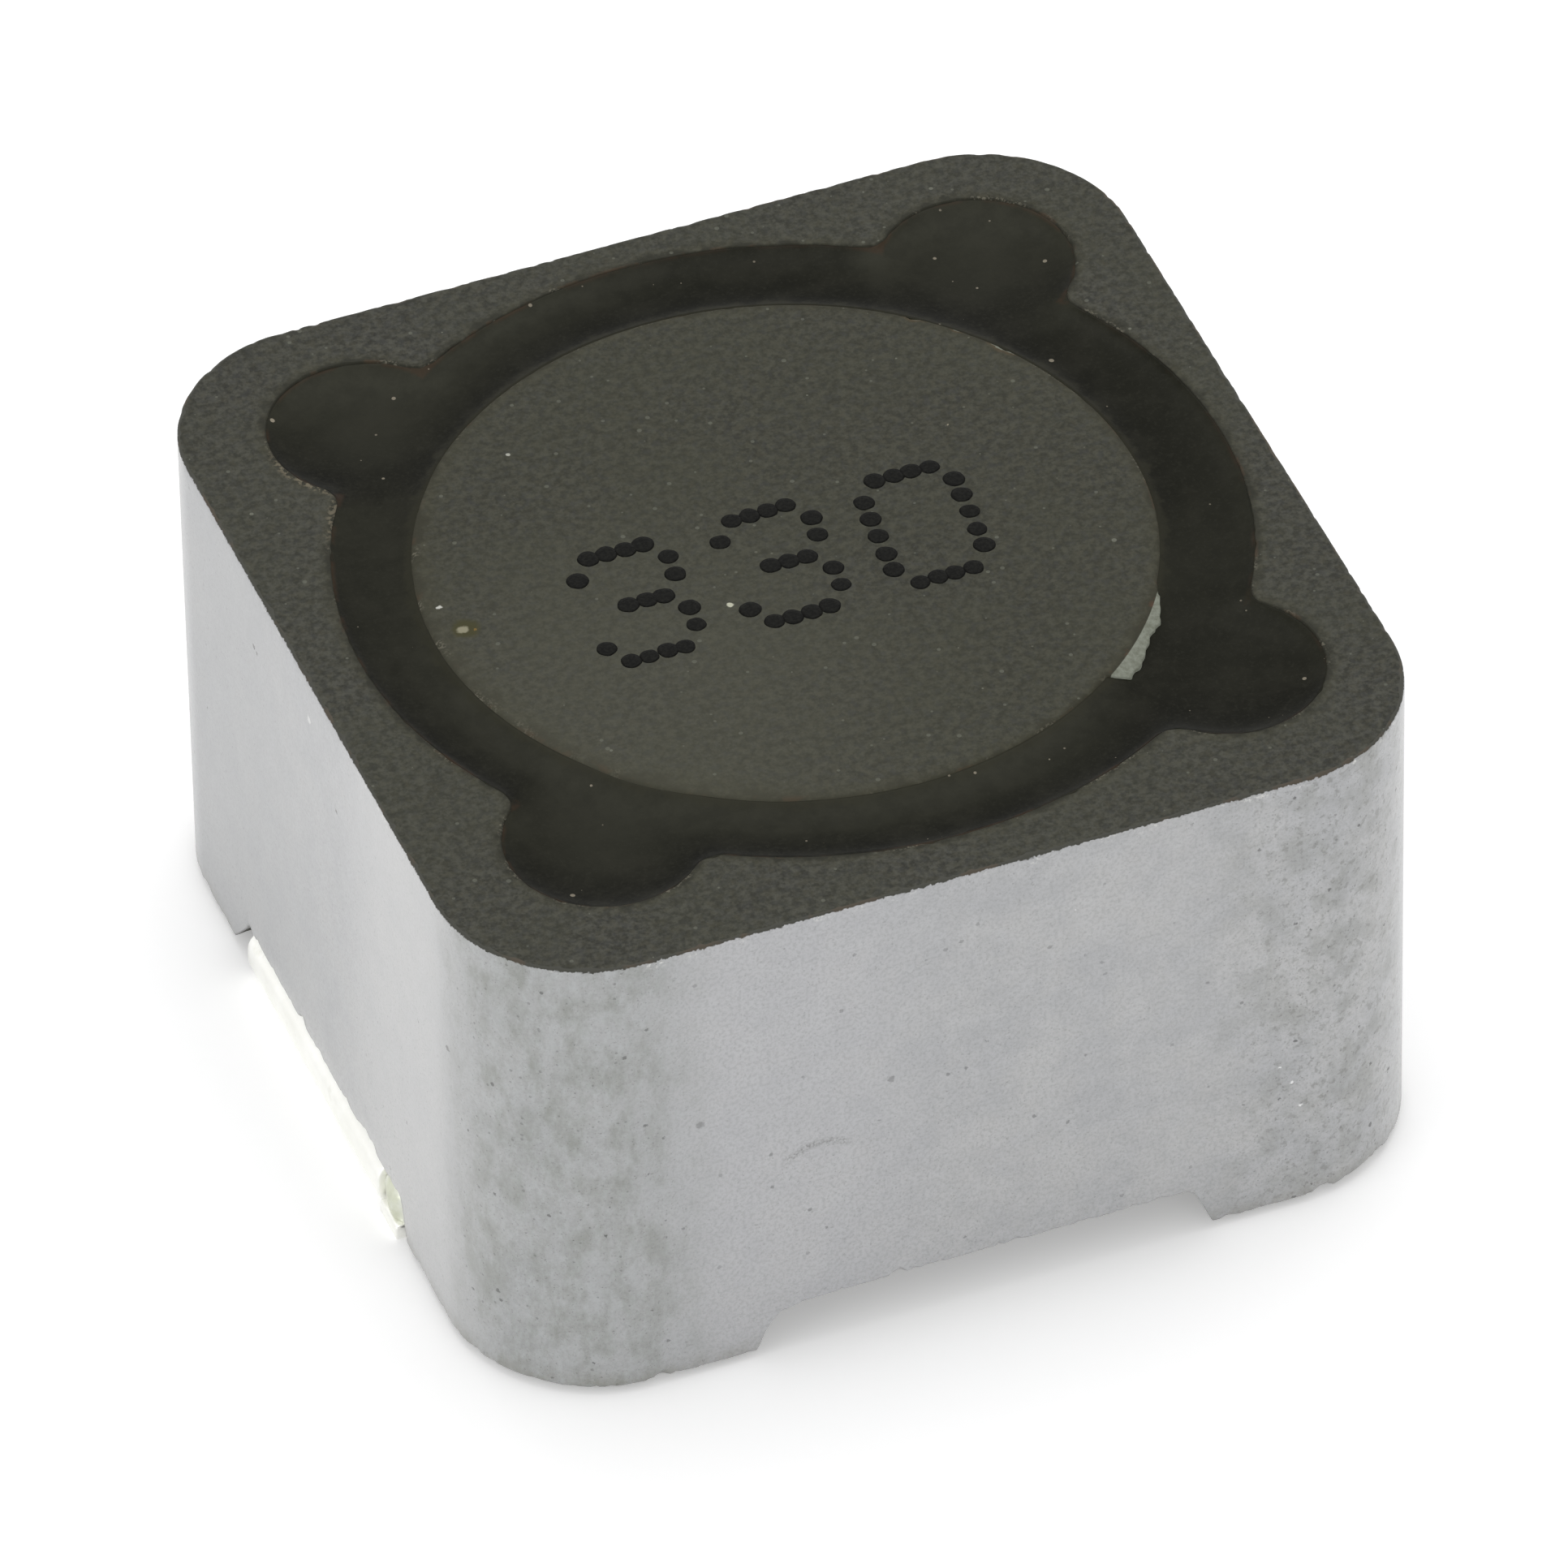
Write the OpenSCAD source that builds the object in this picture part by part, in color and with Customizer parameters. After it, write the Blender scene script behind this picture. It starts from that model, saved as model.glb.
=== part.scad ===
// Shielded drum-core power inductor for surface mounting.
// A ferrite drum carries the coil inside a square ferrite shield. Epoxy joins the two at the top
// rim and in the corner lobes, and two folded tin-plated terminals close the circuit below.
// Millimetres. +Z is up, z = 0 is the board, and the terminals face -X and +X.

/* [Shield core] */
// Length of the shield along X
shield_len = 12.0; // [11.6:0.1:12.8]
// Width of the shield along Y
shield_wid = 12.0; // [11.6:0.1:12.8]
// Height of the shield from its feet to its top
shield_h = 6.65; // [5.5:0.05:8]
// Radius of the upright corners
corner_r = 1.9; // [1.5:0.1:2.2]
// Rounding of the pressed outer edges
edge_r = 0.08; // [0.04:0.01:0.15]
// Thinnest wall, where the round bore comes nearest to the side faces
side_wall = 0.57; // [0.5:0.01:0.8]
// How far pressing tolerance moves the bore along X
bore_off_x = 0.12; // [-0.12:0.02:0.12]
// How far pressing tolerance moves the bore along Y
bore_off_y = 0.1; // [-0.12:0.02:0.12]
// Radius of the four epoxy lobes in the corners of the bore
lobe_r = 1.18; // [1.0:0.02:1.3]
// Wall between each lobe and the side faces
lobe_wall = 0.92; // [0.8:0.02:1.0]
// Rounding of the necks between the bore and its lobes
neck_r = 0.35; // [0.2:0.05:0.5]

/* [Foot recesses] */
// Width of a recess at its ceiling
recess_top_w = 5.4; // [5.2:0.05:5.5]
// Width of a recess at the feet
recess_foot_w = 5.9; // [5.7:0.05:6.2]
// Rounding of the upper corners of a recess
recess_r = 0.2; // [0.1:0.05:0.4]

/* [Drum core] */
// Width of the epoxy groove between the drum's flanges and the bore
groove_w = 1.0; // [0.8:0.05:1.2]
// How far the drum floats off the bore's centre along X while the epoxy cures
drum_off_x = -0.1; // [-0.1:0.02:0.1]
// The same along Y
drum_off_y = -0.02; // [-0.1:0.02:0.1]
// Thickness of the top flange
top_flange_t = 1.1; // [0.9:0.05:1.4]
// Thickness of the base flange
base_flange_t = 1.1; // [0.9:0.05:1.4]
// Diameter of the post that carries the coil
post_d = 5.0; // [4.4:0.1:5.2]
// Fillet between the post and its flanges
post_fillet = 0.04; // [0.02:0.01:0.05]
// Rounding of the flange rims
rim_r = 0.08; // [0.04:0.01:0.15]
// Bearing of the chip broken out of the top rim, from +X
chip_bearing = -43; // [-70:0.5:70]
// Length of that chip along the rim
chip_len = 1.7; // [0.6:0.1:1.9]
// Depth of that chip below the top face
chip_depth = 0.12; // [0.06:0.01:0.2]
// Reach of that chip in from the rim
chip_reach = 0.28; // [0.16:0.02:0.35]

/* [Winding] */
// Diameter of the enamelled wire
wire_d = 0.45; // [0.3:0.01:0.5]
// Slack between the coil and the drum
coil_gap = 0.05; // [0.02:0.01:0.1]
// Bend radius of the leads, at the wire's centre
bend_r = 0.5; // [0.35:0.05:0.6]
// Play of a lead between the terminal's pad and the recess ceiling, above and below it
lead_play = 0.025; // [0.01:0.005:0.05]
// How far the lead ends stop short of the shield's faces
lead_back = 0.02; // [0:0.01:0.3]

/* [Terminals] */
// Room between each end of a terminal and the recess that it fills
terminal_gap = 0.06; // [0.03:0.01:0.2]
// Depth of the solder pad under the part
pad_len = 2.25; // [1.8:0.05:2.6]
// Thickness of the tin-plated strip
strip_t = 0.2; // [0.12:0.01:0.24]
// Inner radius of its two folds
fold_inner_r = 0.08; // [0.04:0.01:0.12]
// How far the fold stands out of the shield's face
terminal_proud = 0.05; // [0:0.01:0.15]
// How far the pads lift the shield's feet off the board
stand_off = 0.1; // [0.1:0.01:0.25]
// Room on each side of a lead in the notch that lets it out through the fold
notch_gap = 0.075; // [0.05:0.005:0.12]
// Slit that frees the fold from the flat under the lead
relief = 0.05; // [0.02:0.01:0.1]
// Length of the solder joint along the lead
solder_len = 0.7; // [0.4:0.05:0.8]
// How far the solder's round top stays in from the notch's sides
solder_waist = 0.03; // [0.02:0.01:0.05]

/* [Epoxy] */
// How far the epoxy lies below the top face at its edges
epoxy_sink = 0.05; // [0.02:0.01:0.1]
// How far the poured ring ends above the underside of the top flange
epoxy_short = 0.1; // [0.06:0.02:0.4]
// Sag of its surface along the middle of the groove
groove_sag = 0.08; // [0.02:0.01:0.15]
// Sag of its surface in the lobes
lobe_sag = 0.14; // [0.04:0.01:0.2]
// Rim that the sags leave level beside the ferrite
epoxy_rim = 0.12; // [0.08:0.02:0.2]
// Height of the dabs in the lobes at the base flange
dab_h = 0.7; // [0.4:0.05:0.8]
// How far each dab wets the base flange beyond first touch
dab_bite = 0.2; // [0.1:0.05:0.25]

/* [Hidden] */
$fn = 96;
eps = 0.01;

// Levels
ceiling_z = strip_t + wire_d + 2 * lead_play;  // recess ceilings, drum's underside, terminals' tops
recess_h = ceiling_z - stand_off;
top_z = stand_off + shield_h;                  // shield's top and drum's top, which are flush
window_z = ceiling_z + base_flange_t;
window_h = top_z - top_flange_t - window_z;

// Centres and radii seen from above
bore_r = min(shield_len, shield_wid) / 2 - side_wall;
flange_r = bore_r - groove_w;
bore_c = [bore_off_x, bore_off_y];
drum_c = bore_c + [drum_off_x, drum_off_y];
groove_c = (bore_c + drum_c) / 2;
groove_r = (bore_r + flange_r) / 2;
lobe_inset = lobe_wall + lobe_r;
lobe_centres = [for (sx = [-1, 1], sy = [-1, 1])
    bore_c + [sx * (shield_len / 2 - lobe_inset), sy * (shield_wid / 2 - lobe_inset)]];

// Recess ends: from the ceiling corner down the slope, and how far the rounding takes up the ceiling
recess_slope = [(recess_foot_w - recess_top_w) / 2, -recess_h];
recess_set_back = recess_r / tan((180 - atan2(recess_h, recess_slope.x)) / 2);
terminal_w = recess_top_w - 2 * recess_set_back - 2 * terminal_gap;
notch_w = wire_d + 2 * notch_gap;
fold_r = fold_inner_r + strip_t;

// Coil
wire_r = wire_d / 2;
turns = floor((window_h - 2 * coil_gap) / wire_d);
first_turn_z = window_z + coil_gap + wire_r;
last_turn_z = first_turn_z + (turns - 1) * wire_d;
bond = 0.3 * wire_d;                           // varnish that fills the valleys between the turns
lead_bite = 0.05;                              // how far a lead's axis lies off its turn at their join
layer_step = wire_d * sin(60);
function layer_r(k) = post_d / 2 + coil_gap + wire_r + k * layer_step;
// As many layers as the flanges cover, but an odd number, so that the finish lead starts at the top
most_layers = 1 + floor((flange_r - wire_r - layer_r(0)) / layer_step);
layers = most_layers - (most_layers + 1) % 2;

// Leads: each drops through the groove at lead_y and leaves through a terminal's notch
lead_y = terminal_w / 2 - notch_w / 2;
lead_z = strip_t + lead_play + wire_r;
function drop_point(side) = let (dy = side * lead_y - groove_c.y)
    [groove_c.x + side * sqrt(groove_r * groove_r - dy * dy), side * lead_y];
function bearing(v) = atan2(v.y, v.x);
// Point where a straight lead to point p leaves a turn of radius r; way is 1 or -1 round the drum
function leaving_point(p, r, way) =
    let (v = p - drum_c, a = bearing(v) + way * acos(r / norm(v))) drum_c + r * [cos(a), sin(a)];

// Radius of the round that dips by sag over a width of chord
function dip_r(chord, sag) = (chord * chord / 4 + sag * sag) / (2 * sag);

// Rectangle centred on X, standing on y = 0, with all four corners rounded
module rounded_slab(w, h, r) {
    translate([-w / 2 + r, 0]) square([w - 2 * r, h]);
    translate([-w / 2, r]) square([w, h - 2 * r]);
    for (x = [-w / 2 + r, w / 2 - r], y = [r, h - r])
        translate([x, y]) circle(r);
}

// Sets a profile drawn in X and Z upright and runs it along Y, centred
module run_along_y(length) {
    rotate([90, 0, 0]) linear_extrude(length, center = true) children();
}

// Square block with round upright corners and softly rounded top and bottom edges
module pressed_block() {
    flat_x = shield_len - 2 * corner_r;
    flat_y = shield_wid - 2 * corner_r;
    run_along_y(flat_y) rounded_slab(shield_len, shield_h, edge_r);
    rotate([0, 0, 90]) run_along_y(flat_x) rounded_slab(shield_wid, shield_h, edge_r);
    for (x = [-flat_x / 2, flat_x / 2], y = [-flat_y / 2, flat_y / 2])
        translate([x, y, 0]) rotate_extrude() intersection() {
            rounded_slab(2 * corner_r, shield_h, edge_r);
            square([corner_r, shield_h]);
        }
}

// Fills the cusp between the bore and a lobe out to a round neck; way is 1 or -1 round the bore
module neck(lobe_c, way) {
    v = lobe_c - bore_c;
    d = norm(v);
    u = v / d;
    to_neck = bore_r + neck_r;
    along = (pow(to_neck, 2) - pow(lobe_r + neck_r, 2) + d * d) / (2 * d);
    across = way * sqrt(to_neck * to_neck - along * along);
    neck_c = bore_c + along * u + across * [-u.y, u.x];
    difference() {
        polygon(way > 0 ? [bore_c, lobe_c, neck_c] : [bore_c, neck_c, lobe_c]);
        translate(neck_c) circle(neck_r);
    }
}

// Round bore with its four lobes, seen from above
module bore_outline() {
    translate(bore_c) circle(bore_r);
    for (c = lobe_centres) {
        translate(c) circle(lobe_r);
        for (way = [-1, 1]) neck(c, way);
    }
}

// Recess between two feet: sloping ends, round upper corners, open below
module recess_profile() {
    top = [recess_top_w / 2, recess_h];
    level = top - [recess_set_back, 0];
    sloped = top + recess_set_back * recess_slope / norm(recess_slope);
    below = top + 2 * recess_slope;
    for (flip = [0, 1]) mirror([flip, 0]) {
        polygon([[0, recess_h], level, sloped, below, [0, below.y]]);
        translate(level - [0, recess_r]) circle(recess_r);
    }
}

module shield_core() {
    color([0.29, 0.29, 0.28]) translate([0, 0, stand_off]) difference() {
        pressed_block();
        translate([0, 0, -eps]) linear_extrude(shield_h + 2 * eps) bore_outline();
        run_along_y(shield_wid + 2 * eps) recess_profile();
        rotate([0, 0, 90]) run_along_y(shield_len + 2 * eps) recess_profile();
    }
}

// Half section of one flange, its rim rounded, lying on y = 0
module flange_section(t) {
    intersection() {
        rounded_slab(2 * flange_r, t, rim_r);
        square([flange_r, t]);
    }
}

module drum_section() {
    post_r = post_d / 2;
    flange_section(base_flange_t);
    translate([0, drum_h() - top_flange_t]) flange_section(top_flange_t);
    square([post_r, drum_h()]);
    difference() {
        translate([0, base_flange_t]) square([post_r + post_fillet, window_h]);
        for (y = [base_flange_t + post_fillet, base_flange_t + window_h - post_fillet])
            translate([post_r + post_fillet, y]) circle(post_fillet);
        translate([post_r, base_flange_t + post_fillet])
            square([2 * post_fillet, window_h - 2 * post_fillet]);
    }
}
function drum_h() = top_z - ceiling_z;

// Ball that bites the chip out: its skin meets the rim over the chip's length and to its depth
module rim_chip() {
    rim_sag = flange_r - sqrt(pow(flange_r, 2) - pow(chip_len / 2, 2));
    outline_r = dip_r(chip_len, chip_reach - rim_sag);
    outside = outline_r - chip_reach;
    lift = (pow(outline_r, 2) - pow(outside, 2) - pow(chip_depth, 2)) / (2 * chip_depth);
    rotate([0, 0, chip_bearing]) translate([flange_r + outside, 0, top_z + lift])
        sphere(norm([outline_r, lift]));
}

module drum_core() {
    color([0.3, 0.3, 0.28]) difference() {
        translate([drum_c.x, drum_c.y, ceiling_z]) rotate_extrude() drum_section();
        translate(drum_c) rim_chip();
    }
}

// Section of the coil: every turn of every layer, bonded by varnish
module coil_section() {
    for (k = [0 : layers - 1]) {
        // Outer layers start one turn up, over the start lead; odd ones sit in the valleys
        lowest = k == 0 ? 0 : (k % 2 == 1 ? 1.5 : 1);
        for (i = [lowest : turns - 1])
            translate([layer_r(k), first_turn_z + i * wire_d]) circle(wire_r);
    }
    inner = layer_r(0) - bond / 2;
    outer = layer_r(layers - 1) + bond / 2;
    translate([inner, first_turn_z + bond])
        square([outer - inner, last_turn_z - first_turn_z - bond / 2]);
}

// Straight length of wire from the origin along +X
module wire(length) {
    rotate([0, 90, 0]) cylinder(h = length, d = wire_d);
}

// Quarter bend that comes in level from -X and leaves the origin straight down
module wire_bend() {
    translate([-bend_r, 0, 0]) rotate([90, 0, 0])
        rotate_extrude(angle = 90) translate([bend_r, 0]) circle(wire_r);
}

// Last stretch of a lead: out of its drop through the groove, level to the shield's face
module lead_end(side) {
    p = drop_point(side);
    reach = shield_len / 2 - lead_back - side * p.x - bend_r;
    translate([p.x, p.y, lead_z]) rotate([0, 0, side > 0 ? 0 : 180]) {
        translate([0, 0, bend_r]) rotate([0, 180, 0]) wire_bend();
        translate([bend_r, 0, 0]) wire(reach);
    }
}

// One lead, worked back from its drop: down through the groove, and level off its turn above
module lead(side, turn_r, turn_z) {
    p = drop_point(side);
    start = leaving_point(p, turn_r, -side);
    translate([p.x, p.y, turn_z]) {
        translate([0, 0, -bend_r]) rotate([0, 0, bearing(p - start)]) {
            wire_bend();
            translate([-bend_r, 0, bend_r]) rotate([0, 0, 180]) wire(norm(p - start) - bend_r);
        }
        drop = turn_z - lead_z - 2 * bend_r;
        translate([0, 0, -bend_r - drop]) cylinder(h = drop, d = wire_d);
    }
    lead_end(side);
}

module winding() {
    color([0.72, 0.36, 0.16]) {
        translate(drum_c) rotate_extrude() coil_section();
        lead(-1, layer_r(0) + lead_bite, first_turn_z);
        lead(1, layer_r(layers - 1) - lead_bite, last_turn_z);
    }
}

// Quarter of a folded strip about the origin, in the quadrant +X, +Y
module fold_arc() {
    intersection() {
        difference() {
            circle(fold_r);
            circle(fold_r - strip_t);
        }
        square(fold_r);
    }
}

// Folded strip in X and Z, its outer face at x = 0: pad below, outer wall, leaf above
module terminal_section() {
    leaf = pad_len - fold_r;
    translate([-pad_len, 0]) square([leaf, strip_t]);
    translate([-pad_len, ceiling_z - strip_t]) square([leaf, strip_t]);
    translate([-strip_t, fold_r]) square([strip_t, ceiling_z - 2 * fold_r]);
    translate([-fold_r, ceiling_z - fold_r]) fold_arc();
    translate([-fold_r, fold_r]) mirror([0, 1]) fold_arc();
}

// Terminal for the +X side: folded over most of its width, flat under the lead
module terminal() {
    folded_w = terminal_w - notch_w;
    color([0.9, 0.9, 0.88]) translate([shield_len / 2 + terminal_proud, -terminal_w / 2, 0]) {
        translate([0, folded_w / 2, 0]) run_along_y(folded_w) terminal_section();
        translate([-pad_len, folded_w / 2, 0]) cube([pad_len - fold_r, terminal_w - folded_w / 2, strip_t]);
        translate([-pad_len, folded_w + relief, 0]) cube([pad_len, notch_w - relief, strip_t]);
    }
}

module terminal_right() { terminal(); }
module terminal_left() { rotate([0, 0, 180]) terminal(); }

// Solder across a lead: flat on the pad and on the fold's cut end, round on top
module solder_section() {
    difference() {
        intersection() {
            union() {
                translate([0, lead_z]) circle(notch_w / 2 - solder_waist);
                translate([-notch_w / 2, strip_t]) square([notch_w, lead_z - strip_t]);
            }
            translate([-notch_w / 2, strip_t]) square([notch_w, ceiling_z - strip_t]);
        }
        translate([0, lead_z]) circle(wire_r);
    }
}

// Solder for the +X terminal, round the end of the lead
module solder() {
    color([0.8, 0.81, 0.8]) translate([shield_len / 2 - lead_back - solder_len, lead_y, 0])
        rotate([90, 0, 90]) linear_extrude(solder_len) solder_section();
}

module solder_right() { solder(); }
module solder_left() { rotate([0, 0, 180]) solder(); }

// Poured epoxy that fills the groove and the lobes, its surface sagging between the walls
module rim_epoxy() {
    surface_z = top_z - epoxy_sink;
    epoxy_depth = top_flange_t - epoxy_sink - epoxy_short;
    groove_dip = dip_r(groove_w - 2 * epoxy_rim, groove_sag);
    lobe_dip = dip_r(2 * (lobe_r - epoxy_rim), lobe_sag);
    color([0.18, 0.18, 0.16]) difference() {
        translate([0, 0, surface_z - epoxy_depth]) linear_extrude(epoxy_depth) bore_outline();
        translate([drum_c.x, drum_c.y, 0]) cylinder(h = 2 * top_z, r = flange_r);
        translate([groove_c.x, groove_c.y, surface_z + groove_dip - groove_sag])
            rotate_extrude() translate([groove_r, 0]) circle(groove_dip);
        for (c = lobe_centres)
            translate([c.x, c.y, surface_z + lobe_dip - lobe_sag]) sphere(lobe_dip);
    }
}

// Four dabs that hold the base flange in the lobes
module base_epoxy() {
    base_z = ceiling_z + (base_flange_t - dab_h) / 2;
    color([0.18, 0.18, 0.16]) for (c = lobe_centres) {
        dab_r = norm(c - drum_c) - flange_r + dab_bite;
        translate([0, 0, base_z]) linear_extrude(dab_h) difference() {
            intersection() {
                bore_outline();
                translate(c) circle(dab_r);
            }
            translate(drum_c) circle(flange_r);
        }
    }
}

shield_core();
drum_core();
winding();
terminal_left();
terminal_right();
solder_left();
solder_right();
rim_epoxy();
base_epoxy();
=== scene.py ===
import math
import random
from bisect import bisect_left

import bmesh
import bpy
from mathutils import Matrix, Vector, geometry, kdtree, noise


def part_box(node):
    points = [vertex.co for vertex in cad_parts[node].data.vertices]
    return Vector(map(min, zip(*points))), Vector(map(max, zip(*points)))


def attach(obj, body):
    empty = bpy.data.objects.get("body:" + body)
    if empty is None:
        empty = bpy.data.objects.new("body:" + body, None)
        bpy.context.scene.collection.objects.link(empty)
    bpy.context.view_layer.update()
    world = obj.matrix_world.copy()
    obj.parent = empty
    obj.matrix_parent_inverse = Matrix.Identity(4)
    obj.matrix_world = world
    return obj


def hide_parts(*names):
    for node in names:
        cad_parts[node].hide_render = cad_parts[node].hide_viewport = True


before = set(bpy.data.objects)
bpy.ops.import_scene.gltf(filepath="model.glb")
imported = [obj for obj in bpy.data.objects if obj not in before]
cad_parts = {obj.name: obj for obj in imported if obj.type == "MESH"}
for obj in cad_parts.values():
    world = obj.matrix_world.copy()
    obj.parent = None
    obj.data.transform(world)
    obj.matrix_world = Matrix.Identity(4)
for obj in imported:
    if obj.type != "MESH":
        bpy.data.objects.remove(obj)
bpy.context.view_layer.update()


# ---- Camera ----------------------------------------------------------------------------------
# A long lens looks down on the corner between the front side and the left one. The turn, the
# height and the roll are those of a camera on a copy stand.
MM = 0.001
aim = Vector((0.0, 0.0, 4.1)) * MM
turn, height, roll = math.radians(-20.798), math.radians(42.157), math.radians(-1.119)
distance = 248.69 * MM
framing = Vector((-0.067, -0.750)) * MM
sensor = 36.0
lens = sensor * 13.389

back = Vector((math.sin(turn) * math.cos(height), -math.cos(turn) * math.cos(height), math.sin(height)))
level_right = Vector((0, 0, 1)).cross(back).normalized()
level_up = back.cross(level_right)
right = level_right * math.cos(roll) + level_up * math.sin(roll)
up = level_up * math.cos(roll) - level_right * math.sin(roll)
place = aim + right * framing.x + up * framing.y + back * distance

camera_data = bpy.data.cameras.new("camera")
camera_data.lens = lens
camera_data.sensor_width = sensor
camera_data.clip_start = 0.01
camera_data.clip_end = 10
camera = bpy.data.objects.new("camera", camera_data)
bpy.context.collection.objects.link(camera)
axes = Matrix((right, up, back)).transposed()
camera.matrix_world = Matrix.Translation(place) @ axes.to_4x4()
bpy.context.scene.camera = camera


# ---- Table and lights ------------------------------------------------------------------------
# A white table top under a white sky, lit by three soft boxes: a broad one overhead, one at the
# left and a weak one in front. The table stays white to the lens and keeps the part's shadow.
bpy.context.scene.view_settings.view_transform = "Standard"
sky_level = 0.62
table_size = 1.2
table_white = 0.93
table_glow = 0.3
lamps = [
    # name, place in metres, width in metres, watts
    ("overhead", (0.05, 0.1, 0.35), 0.3, 0.42),
    ("left", (-0.34, -0.08, 0.16), 0.22, 0.2),
    ("front", (0.06, -0.36, 0.12), 0.2, 0.13),
]


def white_to_the_lens(nodes, links, lit, bare):
    """Mixes the shader that lights the part with the one that the lens and reflections see."""
    paths = nodes.new("ShaderNodeLightPath")
    seen = paths.outputs["Is Camera Ray"]
    for ray in ("Is Glossy Ray", "Is Transmission Ray"):
        either = nodes.new("ShaderNodeMath")
        either.operation = "MAXIMUM"
        links.new(seen, either.inputs[0])
        links.new(paths.outputs[ray], either.inputs[1])
        seen = either.outputs[0]
    choice = nodes.new("ShaderNodeMixShader")
    links.new(seen, choice.inputs[0])
    links.new(lit, choice.inputs[1])
    links.new(bare, choice.inputs[2])
    return choice.outputs[0]


world = bpy.data.worlds.new("sky")
bpy.context.scene.world = world
world.use_nodes = True
nodes, links = world.node_tree.nodes, world.node_tree.links
sky = nodes["Background"]
sky.inputs["Color"].default_value = (1, 1, 1, 1)
sky.inputs["Strength"].default_value = sky_level
backdrop = nodes.new("ShaderNodeBackground")
backdrop.inputs["Color"].default_value = (1, 1, 1, 1)
links.new(
    white_to_the_lens(nodes, links, sky.outputs[0], backdrop.outputs[0]),
    nodes["World Output"].inputs["Surface"],
)

bpy.ops.mesh.primitive_plane_add(size=table_size, location=(0, 0, 0))
table = bpy.context.object
table.name = "table"
table_top = bpy.data.materials.new("table_top")
table_top.use_nodes = True
paint = table_top.node_tree.nodes["Principled BSDF"]
paint.inputs["Base Color"].default_value = (table_white, table_white, table_white, 1)
paint.inputs["Roughness"].default_value = 0.9
paint.inputs["Specular IOR Level"].default_value = 0.0
nodes, links = table_top.node_tree.nodes, table_top.node_tree.links
glow = nodes.new("ShaderNodeEmission")
glow.inputs["Strength"].default_value = table_glow
lifted = nodes.new("ShaderNodeAddShader")
links.new(paint.outputs[0], lifted.inputs[0])
links.new(glow.outputs[0], lifted.inputs[1])
links.new(
    white_to_the_lens(nodes, links, paint.outputs[0], lifted.outputs[0]),
    nodes["Material Output"].inputs["Surface"],
)
table.data.materials.append(table_top)

for name, spot, width, watts in lamps:
    lamp_data = bpy.data.lights.new(name, "AREA")
    lamp_data.size = width
    lamp_data.energy = watts
    lamp = bpy.data.objects.new(name, lamp_data)
    bpy.context.collection.objects.link(lamp)
    lamp.location = spot
    lamp.rotation_mode = "QUATERNION"
    lamp.rotation_quaternion = (aim - Vector(spot)).to_track_quat("-Z", "Y")


# ---- Shield ----------------------------------------------------------------------------------
# A square block of sintered ferrite, pressed as powder, with a round bore and four corner lobes.
# Its outer sides are ground smooth, and their light grey is painted reflection of the white surroundings;
# top, feet and bore keep the dark pressed skin.
low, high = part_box("shield_core")
foot_z, top_z = low.z / MM, high.z / MM
half_side = (high.x - low.x) / 2 / MM
corner_r = 1.9
edge_r = 0.08
bore_centre = Vector((0.12, 0.10))
bore_r = 5.43
lobe_r = 1.18
lobe_wall = 0.92
neck_r = 0.35
bore_edge = 0.025
recess_h = 0.6
recess_top = 2.7
recess_foot = 2.95
recess_r = 0.2
# The press tool was worn, so three ends of the recesses are curved or slope more gently
worn_band = 4.0
front_foot, front_curve = 2.83, 0.17
left_far_foot, left_far_run = 3.11, 0.54
left_near_foot, left_near_curve = 2.78, 0.15
left_worn_from = 2.0
# A flake has gone from the roof of the left recess
flake_out = 5.5
flake_y = -1.38
flake_half_l = 0.27
flake_depth = 0.08
step = 0.035
arc_steps = 4
crease_steps = 6


def shade(red, green, blue):
    """Linear colour of an 8-bit one."""
    return tuple(
        v / 255 / 12.92 if v < 10.3 else ((v / 255 + 0.055) / 1.055) ** 2.4 for v in (red, green, blue)
    )


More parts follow.
